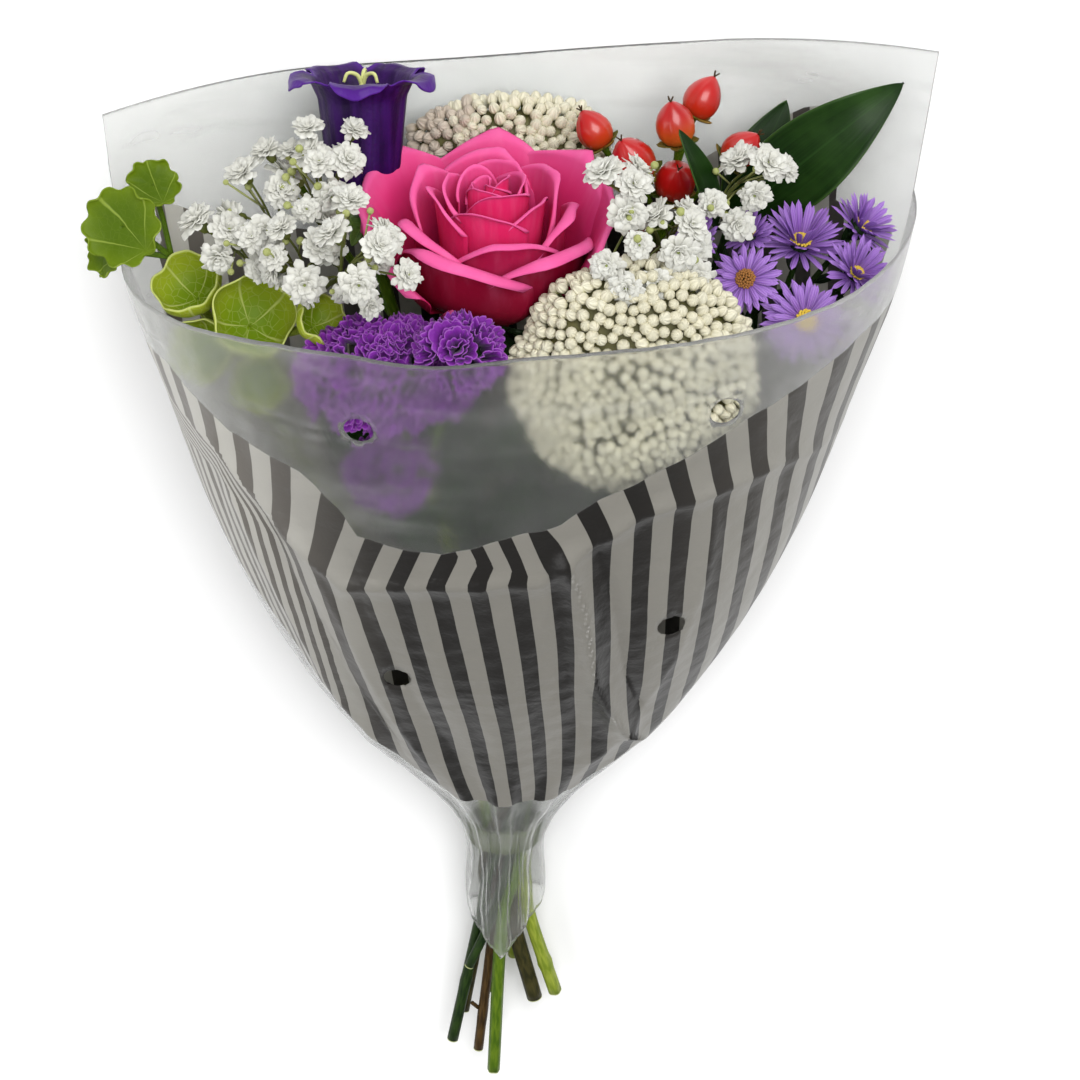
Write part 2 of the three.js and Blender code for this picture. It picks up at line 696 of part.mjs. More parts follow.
// Domes that the funnels stand on, in the order in which they leave the stem.
const STATICE_DOMES = [
  { middle: vec(-36, 221, 99), size: vec(29, 17, 12), count: 11 },
  { middle: vec(-12, 236, 115), size: vec(9, 7, 6), count: 3 },
  { middle: vec(-36, 179, 84), size: vec(10, 8, 7), count: 4 },
];

function makeStatice() {
  const random = randomFrom(5);
  const fork = vec(-26, 168, 66);
  const pieces = [mainStem('statice', 1.8, vec(-13, 115, 50), fork)];
  for (const { middle, size, count } of STATICE_DOMES) {
    pieces.push(stem([fork, fork.clone().lerp(middle, 0.5).add(vec(0, 0, 3)), middle], 1.5, 1.6, 4, 2));
    pieces.push(new THREE.IcosahedronGeometry(1, 0).scale(...size.toArray()).translate(...middle.toArray()));
    for (const way of spreadDirections(count, 0.1)) {
      const tilted = way.clone().applyAxisAngle(vec(1, 0, 0), -0.6);
      const foot = tilted.clone().multiply(size).multiplyScalar(0.75);
      const radius = FUNNEL_RADIUS * random(0.88, 1.08);
      pieces.push(placed(funnel(radius), middle.clone().add(foot), tilted, random(0, 6)));
    }
  }
  return geometryOf(fuse(pieces));
}

add('statice', makeStatice(), 0x7428b4);

// ---------------------------------------------------------------------------------------------------------
// Hypericum: berries with sepals

const BERRIES = [
  { at: vec(66, 290, 33), size: 1.0, way: vec(0.5, 1, -0.1) },
  { at: vec(57, 286, 46), size: 1.05, way: vec(-0.2, 1, 0.2) },
  { at: vec(43.5, 276, 52), size: 1.15, way: vec(-0.5, 1, 0.4) },
  { at: vec(57, 268, 49), size: 1.1, way: vec(0.1, 0.8, 0.8) },
  { at: vec(78, 277, 45), size: 0.95, way: vec(0.8, 0.8, 0.1) },
  { at: vec(31, 281, 38), size: 0.95, way: vec(-0.6, 1, 0) },
  { at: vec(44, 259, 61), size: 0.8, way: vec(-0.3, 0.6, 0.9) },
];

function makeHypericum() {
  const fork = vec(52, 240, 34);
  const pieces = [mainStem('hypericum', 1.5, vec(28, 120, 24), vec(44, 190, 28), fork)];
  const profile = [[0, -1], [0.8, -0.6], [1, 0.1], [0.6, 1], [0, 1.4]];
  const points = profile.map(([r, y]) => new THREE.Vector2(r, y));
  const berry = new THREE.LatheGeometry(points, 6).rotateX(Math.PI / 2);
  for (const { at, size, way } of BERRIES) {
    const radius = BERRY_RADIUS * size;
    const ahead = way.clone().normalize();
    const base = at.clone().addScaledVector(ahead, -0.95 * radius);
    pieces.push(placed(berry.clone().scale(radius, radius, radius), at, ahead));
    pieces.push(stem([fork, fork.clone().lerp(base, 0.55).addScaledVector(ahead, -3), base], 1, 0.9, 4, 2));
    pieces.push(placed(starOfLeaves(5, 1.15 * radius, 1.2), base, ahead));
  }
  return geometryOf(fuse(pieces));
}

add('hypericum', makeHypericum(), 0xc42824, 0.3);

// ---------------------------------------------------------------------------------------------------------
// Ruscus: three stiff leaves on a thin stem

function makeRuscus() {
  const fork = vec(77, 248, 33);
  const narrowBase = vec(70, 259, 66);
  const towardsFront = vec(0, 0.45, 0.9);
  const broad = { base: fork, tip: vec(131, 297, 36), width: 27, bend: 0.05, cup: 0.25, across: 4, along: 8 };
  const hinder = { base: fork, tip: vec(95, 285, 20), width: 20, cup: 0.2 };
  const narrow = { base: narrowBase, tip: vec(57, 294, 70), width: 11, cup: 0.3 };
  return geometryOf(
    fuse([
      mainStem('ruscus', 1.5, vec(40, 130, 14), vec(68, 215, 26), fork),
      leaf({ ...broad, facing: towardsFront }),
      leaf({ ...hinder, facing: towardsFront }),
      stem([fork, vec(75, 253, 50), narrowBase], 1.3, 1, 4, 2),
      leaf({ ...narrow, facing: vec(1, 0.3, 0.7) }),
    ]),
  );
}

add('ruscus', makeRuscus(), 0x1f4a23, 0.4);

// ---------------------------------------------------------------------------------------------------------
// Asters: heads of ray petals round a disc, on one leafy stem

const ASTER_HEADS = [
  { at: vec(98, 249, 57), way: vec(0.1, 1, 0.25), size: 0.88 },
  { at: vec(81, 255, 64), way: vec(-0.3, 1, 0.4), size: 0.58 },
  { at: vec(79, 247, 81), way: vec(-0.2, 0.7, 1), size: 0.82 },
  { at: vec(98, 234, 84), way: vec(0.2, 0.6, 1), size: 0.88 },
  { at: vec(64, 259, 76), way: vec(-0.8, 0.7, 0.5), size: 0.6 },
  { at: vec(115, 244, 70), way: vec(0.5, 0.9, 0.6), size: 0.68 },
  { at: vec(118, 252, 50), way: vec(0.8, 0.9, 0.2), size: 0.8 },
  { at: vec(109, 222, 69), way: vec(0.5, 0.4, 1), size: 0.66 },
];

// Two layers of ray petals round a disc. The upper layer is shorter, and its tips stand between those of the
// lower one.
function asterHead(size) {
  const reach = ASTER_RADIUS * size;
  const count = 12;
  const foot = zigzag(count, 1.8 * size, 1.8 * size, -5, -5);
  const lower = zigzag(count, reach, 0.42 * reach, 0, -1.4);
  const upper = zigzag(count, 0.36 * reach, 0.88 * reach, 1.2, 5);
  const rim = zigzag(count, 3.8 * size, 3.8 * size, 2.4, 2.4);
  return loft([foot, lower, upper, rim], vec(0, 0, -5), vec(0, 0, 4.4));
}

function makeAsterStem() {
  const fork = vec(84, 206, 52);
  const pieces = [mainStem('aster', 1.7, vec(46, 120, 22), fork)];
  for (const { at, way } of ASTER_HEADS) {
    const ahead = way.clone().normalize();
    const base = at.clone().addScaledVector(ahead, -5 - CLEARANCE);
    pieces.push(stem([fork, fork.clone().lerp(base, 0.6).addScaledVector(ahead, -4), base], 1, 1.1, 4, 2));
  }
  const leaves = [
    { base: vec(76, 190, 46), tip: vec(118, 226, 48), width: 11 },
    { base: vec(84, 204, 52), tip: vec(96, 240, 68), width: 9 },
    { base: vec(70, 178, 42), tip: vec(72, 216, 66), width: 10 },
  ];
  for (const shape of leaves) {
    pieces.push(leaf({ ...shape, facing: UP, cup: 0.3, along: 3 }));
  }
  return geometryOf(fuse(pieces));
}

add('aster_stem', makeAsterStem(), 0x2f4a24);
ASTER_HEADS.forEach(({ at, way, size }, i) => {
  add(`aster_head_${i + 1}`, placed(asterHead(size), at, way, i), 0x8d5cc8);
});

// ---------------------------------------------------------------------------------------------------------
// Moluccella: scalloped leaves and net-veined bells on one stem

function scallopedDish({ radius, depth, lobes, notch, rings = 2 }) {
  return dish(2 * lobes, rings, BLADE, (turn, v) => {
    const angle = 2 * Math.PI * turn;
    const edge = 1 - notch * (0.5 - 0.5 * Math.cos(lobes * angle)) * v;
    const r = radius * Math.sin((Math.PI / 2) * v) * edge;
    return vec(r * Math.cos(angle), r * Math.sin(angle), depth * v * v);
  });
}

const MOLUCCELLA_BELLS = [
  { at: vec(-80, 232, 82), way: vec(0.2, 0.7, 0.8), radius: 14 },
  { at: vec(-99, 236, 68), way: vec(-0.3, 0.9, 0.6), radius: 12 },
  { at: vec(-95, 220, 74), way: vec(-0.3, 0.3, 1), radius: 11 },
  { at: vec(-79, 208, 72), way: vec(0.1, 0.2, 1), radius: 10 },
];
const MOLUCCELLA_LEAVES = [
  { at: vec(-121, 260, 68), way: vec(-0.2, 0.3, 1), radius: 13.5 },
  { at: vec(-112, 270, 58), way: vec(0.3, 0.8, 0.7), radius: 9 },
  { at: vec(-128, 248, 62), way: vec(-0.8, 0.2, 0.7), radius: 8 },
];

function makeMoluccella() {
  const tip = vec(-107, 246, 60);
  const pieces = [mainStem('moluccella', 1.6, vec(-52, 130, 34), vec(-88, 205, 54), tip)];
  for (const { at, way, radius } of MOLUCCELLA_BELLS) {
    const ahead = way.clone().normalize();
    const base = at.clone().addScaledVector(ahead, -0.2 * radius);
    const root = base.clone().lerp(vec(-92, 214, 56), 0.5).addScaledVector(ahead, -3);
    const bell = scallopedDish({ radius, depth: 0.95 * radius, lobes: 5, notch: 0.14 });
    pieces.push(placed(bell, base, ahead, 1));
    pieces.push(stem([vec(-92, 214, 56), root, base], 1.6, 1.6, 4, 2));
  }
  for (const { at, way, radius } of MOLUCCELLA_LEAVES) {
    const ahead = way.clone().normalize();
    const leafBlade = scallopedDish({ radius, depth: 2.2, lobes: 7, notch: 0.24, rings: 1 });
    pieces.push(placed(leafBlade, at, ahead, 2));
    pieces.push(stem([tip, tip.clone().lerp(at, 0.5).add(vec(0, 0, -2)), at], 1, 1, 4, 2));
  }
  return geometryOf(fuse(pieces));
}

add('moluccella', makeMoluccella(), 0x93b63c);

// ---------------------------------------------------------------------------------------------------------
// The origin: under the middle of the whole

const box = new THREE.Box3();
for (const mesh of bouquet.children) {
  mesh.geometry.computeBoundingBox();
  box.union(mesh.geometry.boundingBox);
}
bouquet.position.set(-(box.min.x + box.max.x) / 2, -(box.min.y + box.max.y) / 2, -box.min.z);

export default bouquet;
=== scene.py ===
"""The looks of the mixed flower bouquet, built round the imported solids. Shapes are made in millimetres in the
bouquet's own frame: X = 0, Y = 0 at the neck, Y towards the flower heads, Z = 0 on the floor."""

import math

import bmesh
import bpy
import numpy as np
from mathutils import Euler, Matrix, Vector


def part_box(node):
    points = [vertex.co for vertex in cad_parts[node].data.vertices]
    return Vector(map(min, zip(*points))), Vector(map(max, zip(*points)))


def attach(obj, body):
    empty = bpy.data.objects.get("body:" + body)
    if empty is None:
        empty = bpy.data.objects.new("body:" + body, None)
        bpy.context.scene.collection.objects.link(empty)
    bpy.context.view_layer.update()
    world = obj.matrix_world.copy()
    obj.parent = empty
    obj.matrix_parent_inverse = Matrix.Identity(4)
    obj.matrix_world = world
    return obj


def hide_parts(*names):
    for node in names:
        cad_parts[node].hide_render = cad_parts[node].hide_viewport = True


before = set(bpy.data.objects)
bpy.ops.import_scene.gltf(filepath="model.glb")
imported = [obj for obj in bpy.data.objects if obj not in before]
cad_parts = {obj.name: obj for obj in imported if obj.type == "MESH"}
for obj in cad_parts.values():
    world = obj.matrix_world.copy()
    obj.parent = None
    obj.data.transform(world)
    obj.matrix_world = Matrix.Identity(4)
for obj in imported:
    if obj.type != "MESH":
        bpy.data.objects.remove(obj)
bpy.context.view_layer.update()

# The neck: the elastic band is centred on it across, and lies 2 mm below it along the stems.
BAND_BELOW_NECK = 2
band_low, band_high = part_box("binding_band")
NECK = np.array([(band_low.x + band_high.x) / 2, (band_low.y + band_high.y) / 2 + BAND_BELOW_NECK / 1000, 0])
NECK_HEIGHT = (band_low.z + band_high.z) / 2 * 1000

PI, TAU = math.pi, 2 * math.pi
# Rounded, in radians: the step between five sepals.
FIFTH_OF_TURN = 1.257


def vec(x, y, z):
    return np.array([x, y, z], float)


def unit(v):
    return np.asarray(v, float) / np.linalg.norm(v)


UP = vec(0, 0, 1)
UNTURNED = np.eye(3)

# ----------------------------------------------------------
# Directions and turns


def facing(direction, spin=0.0):
    """The rotation that turns +Z to a direction, after a spin about it."""
    z = unit(direction)
    side = np.cross(UP, z) if abs(z[2]) < 0.999 else vec(1, 0, 0)
    x = unit(side)
    y = np.cross(z, x)
    c, s = math.cos(spin), math.sin(spin)
    return np.column_stack([c * x + s * y, -s * x + c * y, z])


def turned_by(about_x=0.0, about_z=0.0):
    return np.array(Euler((about_x, 0, about_z)).to_matrix())


def ring_way(angle):
    """A direction at an angle round +Z."""
    return vec(math.cos(angle), math.sin(angle), 0)


def tilted_about_x(direction, angle):
    x, y, z = direction
    c, s = math.cos(angle), math.sin(angle)
    return vec(x, c * y - s * z, s * y + c * z)


def spread_directions(count, lowest=-1.0):
    """Directions spread evenly over a ball by the golden angle, from +Z down to a lowest height."""
    k = np.arange(count)
    z = 1 - (k + 0.5) / count * (1 - lowest)
    r = np.sqrt(1 - z**2)
    turn = k * PI * (3 - math.sqrt(5))
    return np.stack([r * np.cos(turn), r * np.sin(turn), z], axis=-1)


def turns(sides):
    """Angles round a full turn, one for each side."""
    return np.linspace(0, TAU, sides, endpoint=False)


# ----------------------------------------------------------
# Random numbers and waves


def random_from(seed):
    """The same seeded numbers as the solids' own placing."""
    state = [seed]

    def times(a, b):
        return (a * b) & 0xFFFFFFFF

    def number(low=0.0, high=1.0):
        state[0] = (state[0] + 0x6D2B79F5) & 0xFFFFFFFF
        s = state[0]
        t = times(s ^ (s >> 15), 1 | s)
        t = ((t + times(t ^ (t >> 7), 61 | t)) & 0xFFFFFFFF) ^ t
        return low + (high - low) * ((t ^ (t >> 14)) & 0xFFFFFFFF) / 4294967296

    return number


def waves(points, length, seed):
    """Smooth noise from about -1 to 1 whose bumps are about the given length apart."""
    numbers = np.random.default_rng(seed)
    total = np.zeros(points.shape[:-1])
    for _ in range(6):
        way = unit(numbers.normal(size=3))
        total += np.sin(points @ way * TAU / (length * numbers.uniform(0.7, 1.6)) + numbers.uniform(0, 6))
    return total / 3


# ----------------------------------------------------------
# Shapes


class Shape:
    """Points, faces as arrays of point numbers, and three values at each point for the materials: how far
    across it is, how far along, and a number from 0 to 1 that differs from copy to copy."""

    def __init__(self, points, faces, place):
        self.points = np.asarray(points, float).reshape(-1, 3)
        self.faces = [np.asarray(f, int) for f in faces if len(f)]
        self.place = np.asarray(place, float).reshape(-1, 3)

    def turned(self, rotation, offset=(0, 0, 0), size=1.0, tag=0.0):
        place = self.place.copy()
        place[:, 2] += tag
        return Shape((self.points * size) @ np.asarray(rotation).T + offset, self.faces, place)


def join(shapes):
    start = np.cumsum([0] + [len(s.points) for s in shapes])
    by_size = {}
    for shape, first in zip(shapes, start):
        for faces in shape.faces:
            by_size.setdefault(faces.shape[1], []).append(faces + first)
    return Shape(
        np.concatenate([s.points for s in shapes]),
        [np.concatenate(group) for group in by_size.values()],
        np.concatenate([s.place for s in shapes]),
    )


def cells(rows, columns, wrap=True):
    """The numbers of the four corners of each cell in a grid of points."""
    number = np.arange(rows * columns).reshape(rows, columns)
    if wrap:
        number = np.concatenate([number, number[:, :1]], axis=1)
    return np.stack([number[:-1, :-1], number[:-1, 1:], number[1:, 1:], number[1:, :-1]], axis=-1)


def surface_normals(grid, wrap):
    if wrap:
        across = np.roll(grid, -1, axis=1) - np.roll(grid, 1, axis=1)
    else:
        across = np.gradient(grid, axis=1)
    normal = np.cross(across, np.gradient(grid, axis=0))
    return normal / np.maximum(np.linalg.norm(normal, axis=-1, keepdims=True), 1e-9)


def sheet(grid, thickness, place, wrap=False, keep=None):
    """A closed thin body over a grid of points (rows, columns, 3), thickened away from its normals. keep says
    which of its cells are there."""
    normal = surface_normals(grid, wrap)
    rows, columns = grid.shape[:2]
    quads = cells(rows, columns, wrap)
    quads = quads.reshape(-1, 4) if keep is None else quads[keep]
    count = rows * columns
    edges = np.concatenate([quads[:, [k, (k + 1) % 4]] for k in range(4)])
    lone = edges[~np.isin(edges[:, 1] * count + edges[:, 0], edges[:, 0] * count + edges[:, 1])]
    rim = np.stack([lone[:, 1], lone[:, 0], lone[:, 0] + count, lone[:, 1] + count], axis=-1)
    faces = np.concatenate([quads, quads[:, ::-1] + count, rim])
    points = np.concatenate([grid.reshape(-1, 3), (grid - normal * thickness).reshape(-1, 3)])
    return Shape(points, [faces], np.concatenate([place.reshape(-1, 3)] * 2))


def blade(columns, rows, thickness, at):
    """A thin body where at(u, v) gives the points for u from -1 to 1 across and v from 0 to 1 along."""
    u, v = np.meshgrid(np.linspace(-1, 1, columns), np.linspace(0, 1, rows))
    return sheet(np.stack(at(u, v), axis=-1), thickness, np.stack([u, v, np.zeros_like(u)], axis=-1))


def bowl(turn, along, radius, height, thickness, angle=None, across=None, flip=False):
    """A thin open body round +Z. turn runs round it, and along from its foot to its rim. angle moves its
    points round, across replaces turn in its materials, and flip thickens it the other way."""
    angle = turn if angle is None else angle
    x, y, height = np.broadcast_arrays(radius * np.cos(angle), radius * np.sin(angle), height)
    grid = np.stack([x, y, height], axis=-1)
    across = turn / PI - 1 if across is None else across
    place = np.stack(np.broadcast_arrays(across, along, 0 * x), axis=-1)
    if flip:
        grid, place = grid[:, ::-1], place[:, ::-1]
    return sheet(grid, thickness, place, wrap=True)


def stack_of_rings(rings, turn, along):
    """A body over closed rings of points, with flat ends."""
    rows, columns = len(rings), len(turn)
    number = np.arange(columns)
    ends = np.array([number[::-1], number + (rows - 1) * columns])
    place = np.stack([*np.meshgrid(turn / TAU, along), np.zeros((rows, columns))], axis=-1)
    return Shape(np.concatenate(rings), [cells(rows, columns).reshape(-1, 4), ends], place)


def lathe(profile, sides, ripple=None):
    """A closed body from rings of (radius, height). ripple(turn, k) changes the radius of ring k."""
    turn = turns(sides)
    rings = []
    for k, (radius, height) in enumerate(profile):
        reach = radius * (1 if ripple is None else ripple(turn, k))
        rings.append(np.stack([reach * np.cos(turn), reach * np.sin(turn), np.full(sides, height)], axis=-1))
    return stack_of_rings(rings, turn, np.linspace(0, 1, len(profile)))


def smooth_route(points, steps):
    """Points evenly spread on a smooth curve through the given ones."""
    p = np.asarray(points, float)
    p = np.concatenate([[2 * p[0] - p[1]], p, [2 * p[-1] - p[-2]]])
    fine = []
    for k in range(1, len(p) - 2):
        t = np.linspace(0, 1, 17)[: None if k == len(p) - 3 else -1, None]
        a, b, c, d = p[k - 1 : k + 3]
        bend, twist = 2 * a - 5 * b + 4 * c - d, 3 * b - a - 3 * c + d
        fine.append(0.5 * (2 * b + (c - a) * t + bend * t**2 + twist * t**3))
    fine = np.concatenate(fine)
    length = np.concatenate([[0], np.cumsum(np.linalg.norm(np.diff(fine, axis=0), axis=1))])
    even = np.linspace(0, length[-1], steps + 1)
    return np.stack([np.interp(even, length, fine[:, k]) for k in range(3)], axis=-1)


def tube(route, radius, sides, steps, profile=None):
    """A round body along a route. radius is a number or a function of how far along from 0 to 1, and profile
    changes the radius round the tube."""
    line = smooth_route(route, steps)
    t = np.linspace(0, 1, len(line))
    r = np.broadcast_to(radius(t) if callable(radius) else radius, t.shape)
    tangent = np.gradient(line, axis=0)
    tangent /= np.linalg.norm(tangent, axis=1, keepdims=True)
    side = unit(np.cross(tangent[0], vec(0.31, 0.17, 0.93)))
    turn = turns(sides)
    shape = 1 if profile is None else profile(turn)
    rings = []
    for k in range(len(line)):
        side = unit(side - tangent[k] * (side @ tangent[k]))
        other = np.cross(tangent[k], side)
        ring = np.outer(np.cos(turn) * shape, side) + np.outer(np.sin(turn) * shape, other)
        rings.append(line[k] + r[k] * ring)
    return stack_of_rings(rings, turn, t)


def ball(detail):
    mesh = bmesh.new()
    bmesh.ops.create_icosphere(mesh, subdivisions=detail, radius=1)
    points = np.array([v.co for v in mesh.verts])
    faces = np.array([[v.index for v in f.verts] for f in mesh.faces])
    mesh.free()
    return Shape(points, [faces], np.stack([points[:, 0], 0.5 + points[:, 2] / 2, 0 * points[:, 2]], axis=-1))


# ----------------------------------------------------------
# Pieces


def add_piece(name, parts, slot, *nodes):
    """One object from parts, each a shape and its material. It stands for the named solids."""
    whole = join([shape for shape, _ in parts])
    looks = list(dict.fromkeys(look for _, look in parts))
    point_look = np.concatenate([np.full(len(shape.points), looks.index(look)) for shape, look in parts])
    first_point = np.concatenate([f[:, 0] for f in whole.faces])
    corners = np.concatenate([f.ravel() for f in whole.faces])
    sizes = np.concatenate([np.full(len(f), f.shape[1]) for f in whole.faces])

    mesh = bpy.data.meshes.new(name)
    mesh.vertices.add(len(whole.points))
    mesh.vertices.foreach_set("co", (whole.points / 1000 + NECK).astype(np.float32).ravel())
    mesh.loops.add(len(corners))
    mesh.loops.foreach_set("vertex_index", corners.astype(np.int32))
    mesh.polygons.add(len(sizes))
    mesh.polygons.foreach_set("loop_start", (np.cumsum(sizes) - sizes).astype(np.int32))
    for look in looks:
        mesh.materials.append(look)
    mesh.polygons.foreach_set("material_index", point_look[first_point].astype(np.int32))
    place = mesh.attributes.new("place", "FLOAT_VECTOR", "POINT")
    place.data.foreach_set("vector", whole.place.astype(np.float32).ravel())
    mesh.update(calc_edges=True)
    mesh.shade_smooth()

    piece = bpy.data.objects.new(name, mesh)
    bpy.context.scene.collection.objects.link(piece)
    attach(piece, "root")
    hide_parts(*nodes)


# ----------------------------------------------------------
# Materials


def rgb(red, green, blue):
    """A screen colour from 0 to 255 as the renderer's linear colour."""
    def linear(c):
        c /= 255
        return c / 12.92 if c <= 0.04045 else ((c + 0.055) / 1.055) ** 2.4
    return (linear(red), linear(green), linear(blue), 1)


class Look:
    """A material in the making: nodes are added and joined by short calls."""

    def __init__(self, name):
        self.material = bpy.data.materials.new(name)
        self.material.use_nodes = True
        self.tree = self.material.node_tree
        self.tree.nodes.clear()
        place = self.add("Attribute", attribute_name="place")
        self.across, self.along, self.copy = self.split(place.outputs["Vector"])

    def add(self, kind, inputs=None, **settings):
        """A node. Settings that name a socket set or feed it. The others set the node's own properties."""
        node = self.tree.nodes.new("ShaderNode" + kind)
        sockets = dict(inputs or {})
        for key, value in settings.items():
            if key in node.bl_rna.properties:
                setattr(node, key, value)
            else:
                sockets[key.replace("_", " ")] = value
        for key, value in sockets.items():
            self.feed(node.inputs[key], value)
        return node

    def feed(self, socket, value):
        if isinstance(value, bpy.types.NodeSocket):
            self.tree.links.new(value, socket)
        else:
            socket.default_value = value

    def split(self, vector):
        return self.add("SeparateXYZ", Vector=vector).outputs

    def spot(self):
        """Where the point is on the piece, in metres."""
        return self.add("TexCoord").outputs["Object"]

    def maths(self, operation, a, b=0.0, c=0.0):
        return self.add("Math", {0: a, 1: b, 2: c}, operation=operation).outputs[0]

    def times(self, a, b, plus=None):
        return self.maths("MULTIPLY", a, b) if plus is None else self.maths("MULTIPLY_ADD", a, b, plus)

    def most(self, a, b):
        return self.maths("MAXIMUM", a, b)

    def span(self, value, low, high):
        """0 at low and 1 at high, smoothly."""
        ends = {"Value": value, "From Min": low, "From Max": high}
        return self.add("MapRange", ends, interpolation_type="SMOOTHSTEP").outputs["Result"]

    def blend(self, factor, a, b):
        node = self.add("Mix", data_type="RGBA")
        for place, value in ((0, factor), (6, a), (7, b)):
            self.feed(node.inputs[place], value)
        return node.outputs[2]

    def ramp(self, value, low, high, a, b):
        """A blend from a, where the value is low, to b, where it is high."""
        return self.blend(self.span(value, low, high), a, b)

    def mix(self, factor, a, b):
        """A shader between two others."""
        return self.add("MixShader", {0: factor, 1: a, 2: b}).outputs[0]

    def noise(self, scale, detail=3.0, vector=None):
        """Noise from 0 to 1, with scale in bumps for each metre, or for each unit of the given vector."""
        vector = self.spot() if vector is None else vector
        return self.add("TexNoise", Vector=vector, Scale=scale, Detail=detail).outputs["Fac"]

    def streaks(self, across, along, detail):
        """Noise on the piece's own across and along values, each stretched, for streaks and veins."""
        x, y = self.times(self.across, across), self.times(self.along, along)
        vector = self.add("CombineXYZ", X=x, Y=y, Z=self.times(self.copy, 37.0)).outputs[0]
        return self.noise(1.0, detail, vector)

    def bump(self, height, distance, strength, **settings):
        return self.add("Bump", Height=height, Distance=distance, Strength=strength, **settings).outputs[0]

    def surface(self, base, roughness, relief, translucent=0.0, gloss=0.5, **settings):
        """Ends the material in one shader, partly letting through the light from behind. relief is a bump's
        height, distance and strength."""
        inputs = {"Base Color": base, "Roughness": roughness, "Specular IOR Level": gloss}
        result = self.add("BsdfPrincipled", inputs, Normal=self.bump(*relief), **settings).outputs[0]
        if translucent:
            result = self.mix(translucent, result, self.add("BsdfTranslucent", Color=base).outputs[0])
        return self.end(result)

    def end(self, shader):
        self.add("OutputMaterial", Surface=shader)
        return self.material


def make_simple(name, low, high, roughness=0.6, scale=250):
    """A colour that drifts between two, with a fine grain."""
    look = Look(name)
    base = look.blend(look.noise(scale), low, high)
    return look.surface(base, roughness, (look.noise(scale * 4), 0.0003, 0.5))

# ----------------------------------------------------------
# Film sleeve: the same sections and edges as the solid, with finer pleats, creases and crinkles

# Sections along Y: half the width, and the heights of the seams, the front and the back.
SECTIONS = np.array([
    (-54, 12, 17, 30, 4),
    (-28, 14.9, 17, 32, 2.4),
    (-4, 14.9, 17, 31.9, 2.1),
    (18, 25, 17, 40, 1),
    (54, 58, 20, 60, 0),
    (99, 83, 25, 88, 0),
    (149, 103, 30, 112, 0),
    (200, 117, 35, 129, 0),
    (245, 129, 40, 140, 0),
    (305, 138, 27, 140, 0),
], float)
SECTION_KEYS = ("half", "seam", "front", "back")
LEAN = 5 / 300
FLAT_PART = 0.45
FRONT_POWER = 0.8
PLEATS = 6
PLEAT_DEPTH = 1.6
FILM = 0.25
VENT_RADIUS = 4.8
VENTS = [(-43.5, 216), (71, 220), (-35.5, 101), (57, 126)]
LOWEST_VENT_HEIGHT = 50

# How fine the net of points is: round the front and the back, and along the tube and the flap above it.
FRONT_COLUMNS, BACK_COLUMNS = 204, 70
TUBE_ROWS, FLAP_ROWS = 136, 24

# Lines on the front, as distance from its middle line and Y: the print's upper edge, the crease below it, and
# the edge of the small flap that lies over the crease. The last is the print's upper edge on the back.
PRINT_EDGE = np.array([
    (-125, 222), (-106, 211), (-96, 204), (-69, 195), (-55, 181), (-50, 171), (-35, 168), (-22, 167),
    (4, 176), (17, 180), (29, 190), (42, 196), (61, 206), (82, 217), (97, 223), (109, 229), (123, 234),
    (160, 240),
])
CREASE = np.array([
    (-125, 200), (-104, 196), (-71, 164), (-55, 148), (-22, 155), (11, 157), (20, 167), (42, 184), (63, 188),
    (89, 193), (124, 190), (160, 188),
])
FLAP = np.array([(-19, 167), (11, 157)])
BACK_PRINT_EDGE = np.array([
    (-130, 0), (-129, 255), (-101, 239), (0, 215), (70, 261), (77, 266), (101, 280), (111, 279), (113, 250),
    (134, 246),
])
PRINT_END = 25
STRIPE_PERIOD = 13.4
STRIPE_SHARE = 0.46

# How far the stripes lean aside for each millimetre along Y, at distances from the middle line.
SLANT_ABOVE_CREASE = ([-110, -95, -70, -40, -14], [0.12, 0.06, -0.08, -0.36, -0.42])
SLANT_OVER_FLAP = ([-10, 30, 95, 125], [0.45, 0.3, 0.05, -0.2])
SLANT_BELOW_CREASE = ([-95, -60, 0, 30, 60], [0.3, 0.2, 0.13, 0.04, 0.0])
SLANT_ON_BACK = 0.1

# The print's distance from the seams at heights along Y, to the left and to the right, and on the back.
LEFT_MARGIN = ([30, 110, 190], [15, 10, 0])
RIGHT_MARGIN = ([40, 75, 95], [9, 6, -10])
BACK_MARGIN = 3

# Folds over the front: a line of X, Y points, how deep, and how wide. The first follows the crease.
FOLDS = [
    (CREASE - (0, 1), -3.2, 4),
    ([(-90, 219), (-62, 213), (-40, 211), (-15, 206), (7, 208), (32, 215), (63, 226), (94, 238)], 1.5, 1.8),
    ([(20, 172), (27, 145), (32, 101), (41, 72), (52, 50)], -5.0, 4),
    ([(30, 176), (38, 140), (43, 100), (50, 75)], 2.4, 3),
    ([(14, 170), (19, 140), (23, 100), (30, 60)], 1.4, 3),
    ([(-92, 190), (-80, 150), (-70, 118), (-58, 80), (-40, 46)], -3.2, 3),
    ([(-82, 186), (-71, 150), (-60, 118), (-50, 84), (-32, 42)], 2.2, 3),
    ([(-99, 196), (-90, 160), (-79, 120), (-66, 84), (-48, 52)], 1.8, 2.5),
    ([(-72, 178), (-60, 148), (-51, 120), (-40, 80), (-24, 40)], -1.4, 2.5),
    ([(-50, 168), (-44, 130), (-30, 90), (-14, 45)], 0.9, 4),
    ([(70, 190), (68, 150), (60, 110), (45, 70), (24, 40)], -1.6, 4),
    ([(96, 200), (88, 150), (74, 100), (55, 62)], 1.5, 4),
]


